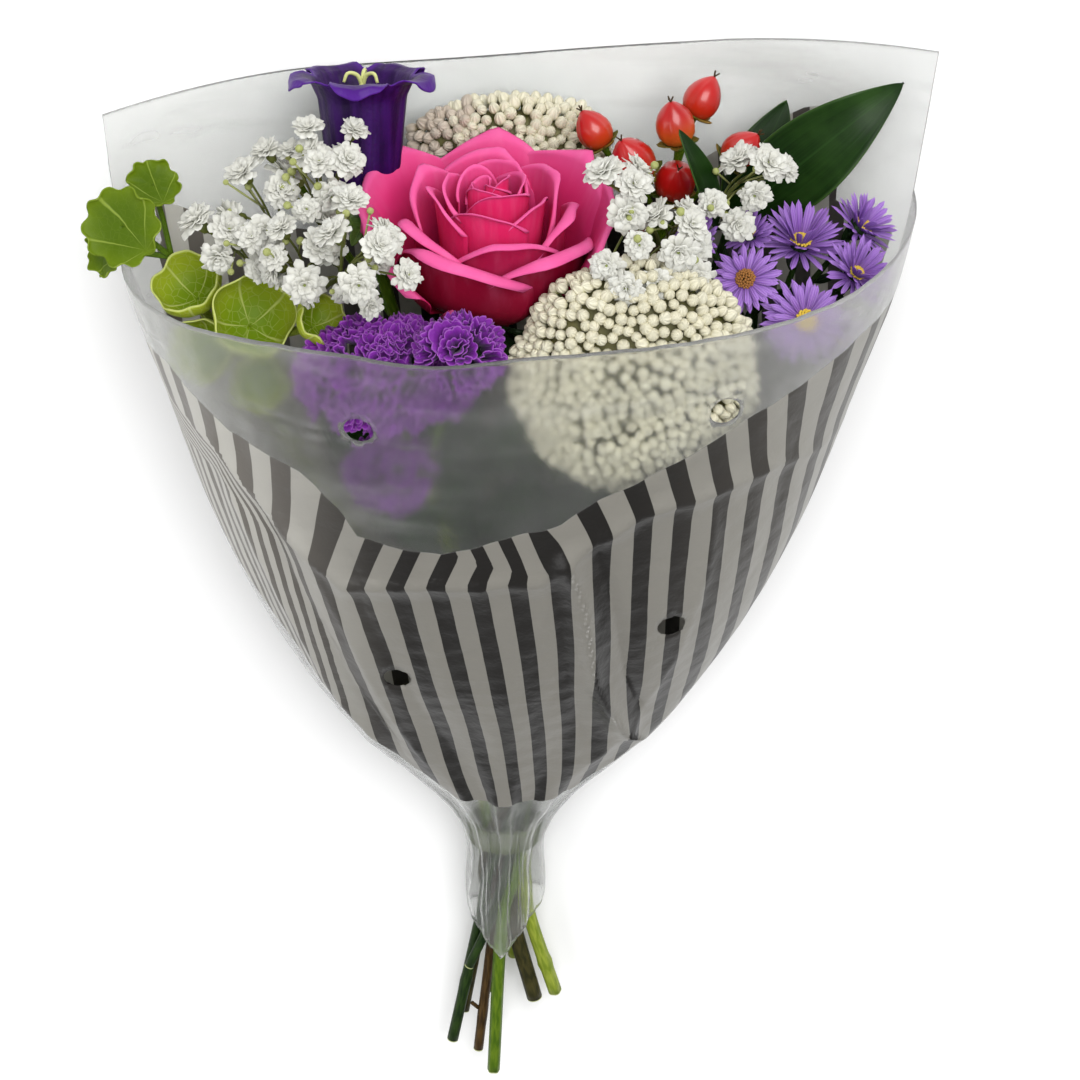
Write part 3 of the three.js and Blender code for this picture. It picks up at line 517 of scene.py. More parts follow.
def section_at(key, y):
    values = SECTIONS[:, 1 + SECTION_KEYS.index(key)]
    places = SECTIONS[:, 0]
    last = len(places) - 1
    k = np.clip(np.searchsorted(places, y) - 1, 0, last - 1)
    before, after = np.maximum(np.arange(last + 1) - 1, 0), np.minimum(np.arange(last + 1) + 1, last)
    slope = (values[after] - values[before]) / (places[after] - places[before])
    step = places[k + 1] - places[k]
    t = (y - places[k]) / step
    return (
        (2 * t**3 - 3 * t**2 + 1) * values[k] + (t**3 - 2 * t**2 + t) * slope[k] * step
        + (3 * t**2 - 2 * t**3) * values[k + 1] + (t**3 - t**2) * slope[k + 1] * step
    )


def sleeve_x(u, y):
    return LEAN * np.maximum(0, y) + section_at("half", y) * u


def front_point(u, y):
    seam = section_at("seam", y)
    arch = np.maximum(0, 1 - u * u) ** (FRONT_POWER / 2)
    fade = np.exp(-(((y - 20) / 70) ** 2))
    pleat = PLEAT_DEPTH * fade * arch * (1 + np.cos(2 * PLEATS * np.arccos(np.clip(u, -1, 1))))
    return np.stack([sleeve_x(u, y), y, seam + (section_at("front", y) - seam) * arch + pleat], axis=-1)


def back_point(u, y):
    back = np.maximum(0, section_at("back", y))
    rise = (np.maximum(0, np.abs(u) - FLAT_PART) / (1 - FLAT_PART)) ** 2
    return np.stack([sleeve_x(u, y), y, back + (section_at("seam", y) - back) * rise], axis=-1)


def skirt_edge(u):
    return -54 + 21 * np.abs(u + 0.15)


def front_rim(u):
    return 247 + 4 * u - 3 * np.exp(-(((u + 0.2) / 0.15) ** 2)) + 10 * np.maximum(0, u) ** 6


def back_rim_line(u):
    return 253 + 8 * u


def flap_top(u):
    return 295 + 10 * u


def sleeve_net():
    """Each point's share of the half width, its Y, and whether its column is on the front sheet. Above the
    front's rim only the back goes on, as a flap."""
    front_u = np.cos(np.linspace(0, PI, FRONT_COLUMNS + 1))[1:-1]
    u = np.concatenate([front_u, -np.cos(np.linspace(0, PI, BACK_COLUMNS + 1))])
    is_front = np.arange(len(u)) < len(front_u)
    start = skirt_edge(u)
    rim = np.where(is_front, front_rim(u), back_rim_line(u))
    y = start + (rim - start) * np.linspace(0, 1, TUBE_ROWS)[:, None]
    extra = np.linspace(0, 1, FLAP_ROWS + 1)[1:, None]
    flap_y = rim + (np.where(is_front, rim, flap_top(u)) - rim) * extra
    y = np.concatenate([y, flap_y])
    return np.broadcast_to(u, y.shape), y, is_front


def along_rows(grid, middle):
    """The distance along each row of points from its middle column."""
    step = np.linalg.norm(np.diff(grid, axis=1), axis=-1)
    length = np.concatenate([np.zeros((len(grid), 1)), np.cumsum(step, axis=1)], axis=1)
    return length - length[:, middle : middle + 1]


def distance_aside(grid, u, is_front):
    """How far each point is from the middle line of its sheet, on the film."""
    middles = [int(np.argmin(np.where(side, np.abs(u[0]), 9))) for side in (is_front, ~is_front)]
    return np.where(is_front, -along_rows(grid, middles[0]), along_rows(grid, middles[1]))


def fold(points, line, depth, width):
    """How far a fold along a line of straight stretches pushes the film. It fades at its ends."""
    line = np.asarray(line, float)
    away = np.full(points.shape[:-1], np.inf)
    along = np.zeros(points.shape[:-1])
    for k, (a, b) in enumerate(zip(line[:-1], line[1:])):
        t = np.clip(((points - a) @ (b - a)) / ((b - a) @ (b - a)), 0, 1)
        reach = np.linalg.norm(points - (a + t[..., None] * (b - a)), axis=-1)
        along = np.where(reach < away, (k + t) / (len(line) - 1), along)
        away = np.minimum(away, reach)
    return depth * np.exp(-away / width) * np.minimum(1, 3 * np.sin(PI * along))


def creased(grid, aside, u, y, is_front):
    """The film with its folds, and with crinkles that fade towards the seams and never reach the floor."""
    on_film = np.stack([aside, y], axis=-1)
    push = np.zeros(y.shape)
    for number, (line, depth, width) in enumerate(FOLDS):
        push += np.where(is_front, fold(grid[..., :2] if number else on_film, line, depth, width), 0)
    arch = np.maximum(0, 1 - u * u) ** 0.5
    crinkle = 0.55 * waves(grid * (1, 0.45, 1), 26, 1) + 0.28 * waves(grid * (1, 0.6, 1), 9, 2)
    at_neck = np.exp(-(((y + 10) / 36) ** 2))
    gather = at_neck * (0.45 * np.cos(38 * u + 2 * waves(grid, 60, 8)) + 0.9 * np.abs(waves(grid, 13, 14)))
    push = push * np.minimum(1, 1.5 * arch**2) + np.where(is_front, (crinkle + gather) * arch, 0)
    lift = np.maximum(0, 0.8 + 0.5 * waves(grid, 40, 3)) * np.clip((y - 150) / 100, 0, 1)
    grid = grid + surface_normals(grid, True) * push[..., None]
    grid[..., 2] = np.maximum(grid[..., 2], FILM + 0.2) + np.where(is_front, 0, lift)
    return grid


def stripe_place(grid, aside, y, is_front):
    """Where each point is across the stripes. They slant, turn at the crease, and turn again where the small
    flap lies over it."""
    def crease_at(x):
        return np.interp(x, *CREASE.T)

    def hinge_at(x):
        return np.maximum(crease_at(x), np.interp(x, *FLAP.T))

    slant_above = np.interp(aside, *SLANT_ABOVE_CREASE)
    crease, hinge = crease_at(aside), hinge_at(aside)
    at_hinge = aside + np.interp(aside, *SLANT_OVER_FLAP) * np.maximum(0, y - hinge)
    over_flap = at_hinge + slant_above * (hinge_at(at_hinge) - crease_at(at_hinge))
    over_crease = aside + slant_above * (y - crease)
    under = aside + np.interp(aside, *SLANT_BELOW_CREASE) * (y - crease)
    on_flap = (aside > FLAP[0, 0]) & (y > hinge)
    stripe = np.where(on_flap, over_flap, np.where(y > crease, over_crease, under))
    # on the far left, below the crease, the film is gathered and the stripes come closer
    gathered = np.clip((crease - y) / 14, 0, 1) * np.clip((y - 30) / 60, 0, 1)
    stripe = stripe + 1.3 * gathered * np.minimum(0, under + 74) + 0.25 * waves(grid, 60, 5)
    return np.where(is_front, stripe, aside + SLANT_ON_BACK * (y - 150))


def print_margin(aside, u, y, is_front):
    """How far each point lies inside the printed part, which stops at its upper edge, near the neck and short
    of the seams."""
    edge = np.where(is_front, np.interp(aside, *PRINT_EDGE.T), np.interp(aside, *BACK_PRINT_EDGE.T))
    beside = np.where(u < 0, np.interp(y, *LEFT_MARGIN), np.interp(y, *RIGHT_MARGIN))
    seam_distance = (1 - np.abs(u)) * section_at("half", y)
    inside_seams = seam_distance - np.where(is_front, beside, BACK_MARGIN)
    return np.minimum.reduce([edge - y, y - PRINT_END - 4 * np.abs(u), inside_seams])


def cut_vents(grid, keep):
    """Takes the cells over each vent out of keep, and moves the points round the hole onto its circle."""
    wrapped = np.concatenate([grid, grid[:, :1]], axis=1)
    middle = (wrapped[:-1, :-1] + wrapped[1:, :-1] + wrapped[:-1, 1:] + wrapped[1:, 1:]) / 4
    for vent in VENTS:
        near = np.linalg.norm(middle[..., :2] - vent, axis=-1) < VENT_RADIUS
        removed = near & (middle[..., 2] > LOWEST_VENT_HEIGHT)
        keep &= ~removed
        padded = np.pad(removed, ((1, 1), (0, 0)))
        beside, within = padded[:-1] | padded[1:], padded[:-1] & padded[1:]
        rim_points = (beside | np.roll(beside, 1, axis=1)) & ~(within & np.roll(within, 1, axis=1))
        spokes = grid[rim_points][:, :2] - vent
        spokes *= VENT_RADIUS / np.linalg.norm(spokes, axis=1, keepdims=True)
        grid[rim_points, :2] = vent + spokes


def make_sleeve():
    u, y, is_front = sleeve_net()
    grid = np.where(is_front[None, :, None], front_point(u, y), back_point(u, y))
    aside = distance_aside(grid, u, is_front)
    grid = creased(grid, aside, u, y, is_front)
    stripe = stripe_place(grid, aside, y, is_front)
    margin = print_margin(aside, u, y, is_front)
    place = np.stack([stripe, margin, np.where(is_front, 0.0, 1.0) + 0 * y], axis=-1)
    rows, columns = y.shape
    keep = np.ones((rows - 1, columns), bool)
    keep[TUBE_ROWS - 1 :, is_front] = False
    keep[TUBE_ROWS - 1 :, -1] = False
    cut_vents(grid, keep)
    return sheet(grid, FILM, place, wrap=True, keep=keep)


def make_film_look():
    """Clear film where nothing is printed, with painted sheen that lightens it towards its sides, streaks of
    painted highlight, and haze towards the neck; and milky film with dark stripes in the printed part, whose
    inks the same painted sheen lightens towards the sides. across is the place across the stripes, and along
    the print's margin."""
    look = Look("frosted_film")
    phase = look.maths("FRACT", look.maths("DIVIDE", look.across, STRIPE_PERIOD))
    printed = look.span(look.along, 0, 0.25)
    band = look.times(look.span(phase, 0, 0.012), look.span(phase, STRIPE_SHARE + 0.012, STRIPE_SHARE))
    dark = look.times(band, printed)

    x, y, _ = look.split(look.spot())
    # painted sheen: the film is lighter towards its sides, the left more than the right
    leftwards, far_left = look.span(x, -0.03, -0.11), look.span(x, -0.06, -0.115)
    rightwards = look.span(x, 0.03, 0.11)
    side_sheen = look.most(leftwards, look.times(rightwards, 0.32))
    neckwards = look.span(y, NECK[1] + 0.05, NECK[1] + 0.01)
    stretched = look.add("Mapping", Vector=look.spot(), Scale=(7, 70, 40)).outputs[0]
    streaks = look.span(look.noise(1.0, 3, stretched), 0.5, 0.8)
    # painted sheen at the sides, with a random milky tone over it
    haze_and_sheen = look.times(look.most(far_left, rightwards), 0.17, plus=look.times(look.noise(35, 4), 0.09))
    haze_and_sheen = look.times(neckwards, look.times(look.noise(90, 4), 0.04), plus=haze_and_sheen)
    # streaks of painted highlight
    haze_and_sheen = look.times(streaks, 0.12, plus=haze_and_sheen)
    cover = look.most(look.most(haze_and_sheen, look.times(printed, 0.82)), look.times(dark, 0.97))

    # the inks are lighter towards the sides by the same painted sheen
    pale_ink = look.blend(side_sheen, rgb(156, 153, 145), rgb(222, 220, 213))
    dark_ink = look.blend(side_sheen, rgb(27, 24, 21), rgb(138, 133, 126))
    ink = look.blend(dark, look.blend(printed, rgb(228, 228, 226), pale_ink), dark_ink)
    fine = look.bump(look.maths("ADD", look.noise(160, 5), look.times(streaks, 0.6)), 0.0012, 0.35)
    crinkled = look.bump(look.noise(520, 2), 0.0004, 0.25, Normal=fine)
    solid = look.add("BsdfPrincipled", {"Base Color": ink}, Roughness=0.3, Normal=crinkled).outputs[0]
    milky = look.mix(0.35, solid, look.add("BsdfTranslucent", Color=ink).outputs[0])
    clear = look.add(
        "BsdfPrincipled", {"Base Color": rgb(237, 238, 237)}, Roughness=0.2, IOR=1.3, Transmission_Weight=1.0,
        Normal=fine,
    ).outputs[0]
    # a shadow ray passes, so that the film lets light into the sleeve
    open_to_light = look.add("BsdfTransparent", Color=rgb(196, 197, 196)).outputs[0]
    see_through = look.mix(look.add("LightPath").outputs["Is Shadow Ray"], clear, open_to_light)
    return look.end(look.mix(cover, see_through, milky))


add_piece("film_sleeve", [(make_sleeve(), make_film_look())], "film", "sleeve")

# ----------------------------------------------------------
# Stems: a hand-tied spiral. Each has a place in the bundle, which turns half round at the neck.

SPIRAL_START, SPIRAL_END = -42, 46
# Each stem's place in the bundle, its cut end, and its radius there.
STEMS = {
    "moluccella": ((-8.8, 0.6), (19, -82, 12), 2.5),
    "rose": ((-2.0, 0.6), (11, -84, 13), 3.0),
    "statice": ((-1.8, 6.9), (3, -69, 6), 2.3),
    "rice": ((3.6, 6.6), (-5, -84, 8), 2.3),
    "gypsophila_right": ((8.0, 4.6), (-16, -94, 8), 1.5),
    "hypericum": ((4.2, 0.9), (-11, -108, 14), 1.9),
    "aster": ((9.4, -0.6), (-21, -104, 13), 2.2),
    "ruscus": ((5.8, -5.2), (-14, -63, 22), 1.8),
    "campanula": ((1.3, -6.9), (-5, -113, 21), 2.4),
    "gypsophila_left": ((-6.3, 6.0), (12, -66, 6), 1.5),
}


def main_stem(name, tip, *onward, ridges=0, nodes=()):
    """The stem from its cut end through the neck and on through the given points. tip is its radius there,
    ridges are cut along it, and it swells where nodes say, as a share of its length."""
    slot, end, radius = STEMS[name]
    bundle = []
    for t in (0, 0.25, 0.5, 0.75, 1):
        turn = PI * (1 - t)
        spread = 1 + 0.5 * max(0, t - 0.5)
        x = spread * (slot[0] * math.cos(turn) - slot[1] * math.sin(turn))
        z = spread * (slot[0] * math.sin(turn) + slot[1] * math.cos(turn))
        bundle.append(vec(x, SPIRAL_START + t * (SPIRAL_END - SPIRAL_START), NECK_HEIGHT + z))

    def thickness(t):
        swell = sum(0.16 * np.exp(-(((t - at) / 0.006) ** 2)) for at in nodes)
        return (radius + (tip - radius) * t) * (1 + swell)

    def ridged(turn):
        return 1 + 0.07 * np.cos(ridges * turn)

    return tube([vec(*end), *bundle, *onward], thickness, 20, 90, ridged if ridges else None)


def make_stem_look(name, low, high):
    """Streaks along the stem, between two greens, and a pale cut end."""
    look = Look(name)
    streaks = look.streaks(14, 60, 4)
    base = look.ramp(streaks, 0.3, 0.7, low, high)
    base = look.ramp(look.along, 0.0016, 0.0006, base, rgb(206, 214, 150))
    return look.surface(base, 0.45, (streaks, 0.0004, 0.6), gloss=0.12)


STEM_GREEN = make_stem_look("stem_bright_green", rgb(58, 86, 8), rgb(88, 112, 22))
STEM_DARK = make_stem_look("stem_dark_green", rgb(16, 34, 8), rgb(36, 56, 16))
STEM_OLIVE = make_stem_look("stem_olive", rgb(36, 36, 14), rgb(62, 58, 28))
STEM_PALE = make_stem_look("stem_pale", rgb(104, 122, 30), rgb(140, 152, 56))
STEM_BROWN = make_stem_look("stem_brown", rgb(46, 32, 14), rgb(78, 58, 28))
TWIG_GREEN = make_simple("twig_green", rgb(62, 74, 20), rgb(104, 108, 42))

# ----------------------------------------------------------
# Leaves

SIDE_VEINS = 9


def make_leaf_look(name, low, high):
    """A leaf: a midrib, side veins that slant to the tip, and a mottled green."""
    look = Look(name)
    side = look.maths("ABSOLUTE", look.across)
    slant = look.maths("SUBTRACT", look.times(look.along, SIDE_VEINS), look.times(side, 0.22 * SIDE_VEINS))
    wave = look.maths("ABSOLUTE", look.maths("SUBTRACT", look.maths("FRACT", slant), 0.5))
    lines = look.most(look.times(look.span(wave, 0.42, 0.5), 0.45), look.span(side, 0.07, 0.02))
    mottle = look.noise(180, 4)
    base = look.ramp(mottle, 0.3, 0.7, low, high)
    pale = tuple(min(1, 1.7 * c + 0.03) for c in high[:3]) + (1,)
    base = look.blend(look.times(lines, 0.55), base, pale)
    return look.surface(base, 0.42, (look.times(lines, -1.0, plus=mottle), 0.0006, 0.5), 0.12, 0.15)


def leaf(
    base, tip, width, face, bend=0.0, cup=0.0, wave=0.0, curl=0.0, outline=None, seed=0, columns=13, rows=30
):
    """A leaf whose rib runs from base to tip. bend arches it, cup lifts its edges, wave ripples them, and
    curl turns the tip over."""
    spine = tip - base
    length = np.linalg.norm(spine)
    ahead = spine / length
    side = unit(np.cross(ahead, face))
    out = unit(np.cross(side, ahead))

    def at(u, v):
        half = width / 2 * (outline(v) if outline else np.sin(PI * v**0.8) + 0.04 * (1 - v))
        past = np.maximum(0, v - 0.7) ** 2
        lift = bend * length * np.sin(PI * v) + cup * half * u * u
        lift = lift + wave * np.abs(u) * np.sin(9 * v + seed + 1.5 * np.sign(u)) - curl * length * past * 8
        reach = length * (v - curl * past)
        points = base + reach[..., None] * ahead + (half * u)[..., None] * side + lift[..., None] * out
        return points.transpose(2, 0, 1)

    return blade(columns, rows, 0.5, at)


def five_sepals(foot, turn, step, start, reach, rise, width, **form):
    """Sepals a step apart round a foot: how far out they start and end, and how far their tips rise."""
    ahead = turn[:, 2]
    for k in range(5):
        out = turn @ ring_way(step * k)
        yield leaf(foot + start * out, foot + reach * out + rise * ahead, width, ahead, **form)

# ----------------------------------------------------------
# Rose

ROSE_AXIS = vec(0, math.cos(0.19), math.sin(0.19))
ROSE_BASE = vec(-3.4, 227, 64.5)
ROSE_FOOT = 6
ROLL_FROM = 0.8
INSIDE = 1
# Rim radii of the inner and the outer petals. What grows between them is given for both.
RIM_RADII = (14, 28)

# Rings from the outside in: where the petals stand, in degrees from the left towards the front, half the
# angle that each covers, radii at the belly and the rim, height, how far the rim rolls out, and how far its
# tip stands out.
ROSE_RINGS = [
    ((-44, -97, -143, 172, 8), 50, 28, 38.5, 41.5, 1.2, 5.0),
    ((56, 120), 60, 29, 31.5, 40.5, 3.6, 1.5),
    ((32, 94, 152), 54, 22.5, 25.5, 43.5, 2.8, 3.0),
    ((-160, -97, -32), 58, 18.5, 22, 46.5, 1.3, 2.5),
    ((76, 140, 8), 62, 15, 17, 48, 1.9, 2.0),
    ((-125, -15), 80, 12.4, 13.6, 50, 0.9, 1.4),
    ((100, -170), 80, 10.2, 10.8, 50.4, 1.2, 0.8),
    ((-64, 60), 88, 7.8, 8, 51, 0.7, 0.6),
    ((20, 150), 100, 5.6, 5.4, 51, 0.5, 0.3),
    ((80, -90), 110, 3.4, 2.8, 50.4, 0.3, 0),
]

# Leaves on the rose's stem: foot, tip and width.
ROSE_LEAVES = [
    (vec(-3.5, 150, 48), vec(-28, 196, 62), 24),
    (vec(-2.5, 128, 43), vec(12, 176, 66), 22),
    (vec(-3.5, 155, 48), vec(-62, 190, 66), 30),
    (vec(-3.5, 140, 46), vec(-44, 158, 72), 26),
    (vec(-3.5, 165, 50), vec(34, 204, 52), 28),
    (vec(-3.5, 135, 46), vec(46, 168, 58), 28),
    (vec(-3.5, 120, 42), vec(-30, 134, 62), 22),
    (vec(-3.5, 172, 52), vec(-20, 212, 44), 26),
    (vec(-3.5, 160, 48), vec(6, 206, 88), 26),
]


def rose_petal(turn, half_angle, belly, rim, height, roll, tip, seed):
    """A petal that rises as a wall and rolls out round a small circle at its rim. Its end at u = -1 is tucked
    in under the next petal."""
    def by_rim(inner, outer):
        return np.interp(rim, RIM_RADII, (inner, outer))

    def at(u, v):
        wall = np.minimum(1, v / ROLL_FROM)
        curl = np.maximum(0, (v - ROLL_FROM) / (1 - ROLL_FROM))
        opened = 0.42 + 0.58 * np.sin(PI / 2 * np.minimum(1, 1.3 * wall))
        angle = turn + u * half_angle * opened * (1 - 0.1 * curl**2) + 0.03 * np.sin(4 * v + seed)
        swell = np.sin(PI / 2 * np.minimum(1, 1.7 * wall))
        radius = ROSE_FOOT + (belly - ROSE_FOOT) * swell + (rim - belly) * wall**2
        tucked = np.maximum(0, -u)
        drop = by_rim(0.12, 0.24) * np.abs(u) ** 2.3
        drop = drop + by_rim(0.12, 0.32) * tucked**1.4
        rise = (height - roll) * wall * (1 - drop * wall)
        bend = roll * (0.2 + 0.85 * np.cos(PI / 2 * np.maximum(0, u)) ** 0.8) * (1 - tucked) ** 2.2
        over = by_rim(1.1, 2.4) * curl
        radius = radius + bend * (1 - np.cos(over))
        rise = rise + bend * np.sin(over) + 1.3 * u * math.sin(2.1 * seed) * wall
        pinch = tip * np.exp(-np.abs(u - 0.12 * math.sin(seed)) / 0.17) * v**6
        radius, rise = radius + 0.7 * pinch, rise + 0.6 * pinch
        ripple = 0.035 * rim * v**4 * np.sin(3.4 * u + seed) + 0.012 * rim * v**6 * np.sin(11 * u + 2 * seed)
        radius = radius + ripple + (1.3 + 9 / rim) * u
        return radius * np.cos(angle), radius * np.sin(angle), 2 + rise

    petal = blade(25, 30, 0.45, at)
    petal.place[len(petal.points) // 2 :, 2] = INSIDE
    return petal


def make_rose_look():
    """Painted shade makes every petal darker towards its foot, down in the cup, and the outsides of the outer
    rings darker still. The insides are brighter. The rims are paler, partly the petal's own colour and partly
    painted highlight, and pale flecks towards the rims are painted highlight.
    """
    look = Look("rose_petal")
    streaks = look.streaks(6, 2.5, 5)
    inside = look.span(look.copy, 0.99, 1.0)
    # painted shade: darker at each petal's foot and on the outsides of the outer rings
    shaded_outer_rings = look.ramp(look.along, 0.2, 0.75, rgb(84, 4, 18), rgb(142, 10, 46))
    bright = look.ramp(look.along, 0.2, 0.6, rgb(158, 10, 50), rgb(222, 42, 104))
    outer = look.ramp(look.copy, 0.12, 0.3, shaded_outer_rings, bright)
    # paler rims, partly the petal's own colour and partly painted highlight
    outer = look.ramp(look.along, 0.76, 0.9, outer, rgb(216, 66, 128))
    # painted shade: the insides too are darker towards the foot
    inner = look.ramp(look.along, 0.2, 0.65, rgb(186, 12, 66), rgb(222, 52, 120))
    inner = look.ramp(look.along, 0.6, 0.95, inner, rgb(228, 92, 154))
    base = look.blend(inside, outer, inner)
    # pale flecks towards the rim are painted highlight
    highlight_flecks = look.times(look.span(streaks, 0.42, 0.8), look.span(look.along, 0.4, 0.95))
    base = look.blend(look.times(highlight_flecks, 0.22), base, rgb(236, 134, 180))
    height = look.maths("ADD", streaks, look.times(look.noise(900, 2), 0.2))
    return look.surface(base, 0.55, (height, 0.0004, 0.5), 0.1, 0.1)


def make_rose():
    look = make_rose_look()
    petals = []
    for ring, (places, half_angle, belly, rim, height, roll, tip) in enumerate(ROSE_RINGS):
        for degrees in places:
            seed = len(petals) + 1
            lifted = height + 0.9 * math.sin(2.4 * seed)
            wide = rim + 0.03 * rim * math.sin(1.7 * seed)
            spread = math.radians(half_angle)
            petal = rose_petal(math.radians(degrees), spread, belly, wide, lifted, roll, tip, seed)
            petal = petal.turned(facing(ROSE_AXIS), ROSE_BASE, tag=0.09 * ring + 0.0037 * seed)
            petals.append((petal, look))
    add_piece("rose_petals", petals, "rose_petal", "rose_bloom")


def make_rose_stem():
    fork, calyx_foot, top = (ROSE_BASE - d * ROSE_AXIS for d in (8, 5, 0.4))
    turn = facing(ROSE_AXIS)
    look = make_leaf_look("rose_leaf", rgb(16, 40, 12), rgb(36, 68, 22))
    calyx = lathe([(2.2, -15), (3.6, -13), (5.4, -8), (6.4, -3), (6.0, -0.8), (4.0, 0)], 24)
    parts = [(main_stem("rose", 3, vec(-3.2, 130, 44), fork), STEM_OLIVE), (calyx.turned(turn, top), look)]
    sepals = five_sepals(calyx_foot, turn, TAU / 5, 4, 19, -9, 6, bend=-0.12, cup=0.2)
    parts.extend((sepal, look) for sepal in sepals)
    for k, (foot, tip, width) in enumerate(ROSE_LEAVES):
        shape = leaf(foot, tip, width, UP, bend=0.08, cup=0.2, wave=0.9, columns=9, rows=20, seed=k)
        parts.append((shape, look))
    add_piece("rose_stem_and_leaves", parts, "stem_green", "rose_stem")


make_rose()
make_rose_stem()

# ----------------------------------------------------------
# Rice flower: round buds on short stalks over two domes

# Each head's middle, and its size along X, Y and Z.
RICE_HEADS = {
    "front": (vec(43, 222, 99), vec(38, 38, 18)),
    "back": (vec(3, 270, 19), vec(33, 15, 12)),
}
RICE_BUD = 2.15
RICE_GAP = 2.75
RICE_TRIES = 16000
RICE_CORE_DEPTH = 3.6
RICE_FORK = vec(18, 160, 50)
DUSKY_LEFT_OF = -12


def make_bud_look(name, tint):
    """Ribbed and cream with a green foot. tint makes it dusky."""
    look = Look(name)
    base = look.ramp(look.along, 0.08, 0.5, rgb(142, 142, 80), rgb(226, 221, 197))
    base = look.ramp(look.copy, 0.5, 1.0, base, rgb(228, 224, 202))
    ridges = look.maths("SINE", look.times(look.across, 16 * PI, plus=look.times(look.along, 5)))
    base = look.blend(look.times(look.span(ridges, 0.3, 1.0), 0.16), base, rgb(176, 170, 128))
    base = look.blend(0.38 * tint, base, rgb(146, 104, 112))
    return look.surface(base, 0.5, (ridges, 0.0003, 0.5), 0.1, 0.25)


def kept_apart(points, gap):
    """Those of the points that are further than a gap from every point kept before them."""
    kept = points[:1]
    for point in points[1:]:
        if np.linalg.norm(kept - point, axis=1).min() > gap:
            kept = np.concatenate([kept, [point]])
    return kept


def make_rice_head(side, middle, size, bud_look, dusky_look):
    name = "rice_flower_" + side
    numbers = np.random.default_rng(len(name))
    heights = np.linspace(0.3, 3.0, 7)
    bud = lathe([(math.sin(t) * (0.96 + 0.16 * math.cos(t)), -1.14 * math.cos(t)) for t in heights], 10)
    core = ball(4)
    core.points *= size - RICE_CORE_DEPTH
    core_look = make_simple("rice_core_" + side, rgb(84, 84, 44), rgb(124, 118, 72))
    ways = numbers.normal(size=(RICE_TRIES, 3))
    ways /= np.linalg.norm(ways, axis=1, keepdims=True)
    spots = kept_apart(ways[ways[:, 2] > -0.3] * size, RICE_GAP)
    out = spots / size**2
    out /= np.linalg.norm(out, axis=1, keepdims=True)
    spots += out * (1.3 * waves(spots, 15, 6) + numbers.uniform(-0.9, 0.7, len(spots)))[:, None]
    buds, stalks = [], []
    for spot, way in zip(spots, out):
        radius = RICE_BUD * numbers.uniform(0.84, 1.08)
        place = middle + spot
        lean = unit(way + 0.22 * numbers.normal(size=3))
        shape = bud.turned(facing(lean, numbers.uniform(0, 6)), place, radius, numbers.uniform())
        is_dusky = place[0] + numbers.normal(scale=5) < DUSKY_LEFT_OF
        buds.append((shape, dusky_look if is_dusky else bud_look))
        stalks.append((tube([place - way * 6.5, place - way * radius * 0.7], 0.45, 4, 1), TWIG_GREEN))
    parts = [(core.turned(UNTURNED, middle), core_look), *buds, *stalks]
    add_piece(name, parts, "rice_cream", "rice_flower")


def make_rice_flower():
    looks = make_bud_look("rice_bud", 0.0), make_bud_look("rice_bud_dusky", 1.0)
    parts = [(main_stem("rice", 2, vec(12, 110, 38), RICE_FORK), STEM_GREEN)]
    for side, (middle, size) in RICE_HEADS.items():
        make_rice_head(side, middle, size, *looks)
        half_way = (RICE_FORK + middle) / 2 + vec(2, 0, -3)
        parts.append((tube([RICE_FORK, half_way, middle], 1.8, 8, 10), STEM_GREEN))
        for way in spread_directions(9, 0.2):
            parts.append((tube([half_way, middle + way * size * 0.8], 0.8, 5, 6), TWIG_GREEN))
    add_piece("rice_flower_stem", parts, "stem_green", "rice_flower")


make_rice_flower()

# ----------------------------------------------------------
# Statice: papery calyxes, ruffled and pleated, close together on domes

# Each dome's middle, its size along X, Y and Z, and how many calyxes it has.
STATICE_DOMES = [
    (vec(-36, 221, 99), vec(29, 17, 12), 52),
    (vec(-12, 236, 115), vec(9, 7, 6), 12),
    (vec(-36, 179, 84), vec(10, 8, 7), 12),
]
STATICE_FORK = vec(-26, 168, 66)


def ruffle(radius, sides, seed):
    """One funnel whose rim is gathered into fine rounded folds."""
    numbers = np.random.default_rng(seed)
    folds, phase = sides // 7 + numbers.integers(0, 3), numbers.uniform(0, 6, 3)
    turn = turns(sides)
    v = np.array([0.1, 0.45, 0.75, 1])[:, None]
    wave = folds * turn + phase[0] + 0.9 * np.sin(3 * turn + phase[1])
    flare = 1 + v**2 * (0.08 * np.sin(wave) + 0.07 * np.sin(3 * turn + phase[1]))
    r = radius * (0.15 + 0.85 * v**0.9) * flare
    angle = turn - 0.075 * v**2 * np.cos(wave)
    z = 9.5 * v**1.1 * (1 - 0.25 * v) + 0.75 * v**2 * np.cos(wave) + 1.3 * v**2 * np.sin(2 * turn + phase[2])
    return bowl(turn, v, r, z, 0.25, angle=angle)


def make_statice_look():
    look = Look("statice_calyx")
    streaks = look.streaks(16, 3, 4)
    base = look.ramp(look.along, 0.1, 1.0, rgb(48, 5, 66), rgb(122, 34, 152))
    base = look.blend(look.times(look.span(streaks, 0.45, 0.75), 0.5), base, rgb(98, 20, 136))
    # the paler rim is a painted highlight
    base = look.ramp(look.along, 0.93, 1.0, base, rgb(156, 84, 182))
    return look.surface(base, 0.6, (streaks, 0.0006, 0.7), 0.15, 0.2, Sheen_Weight=0.15)


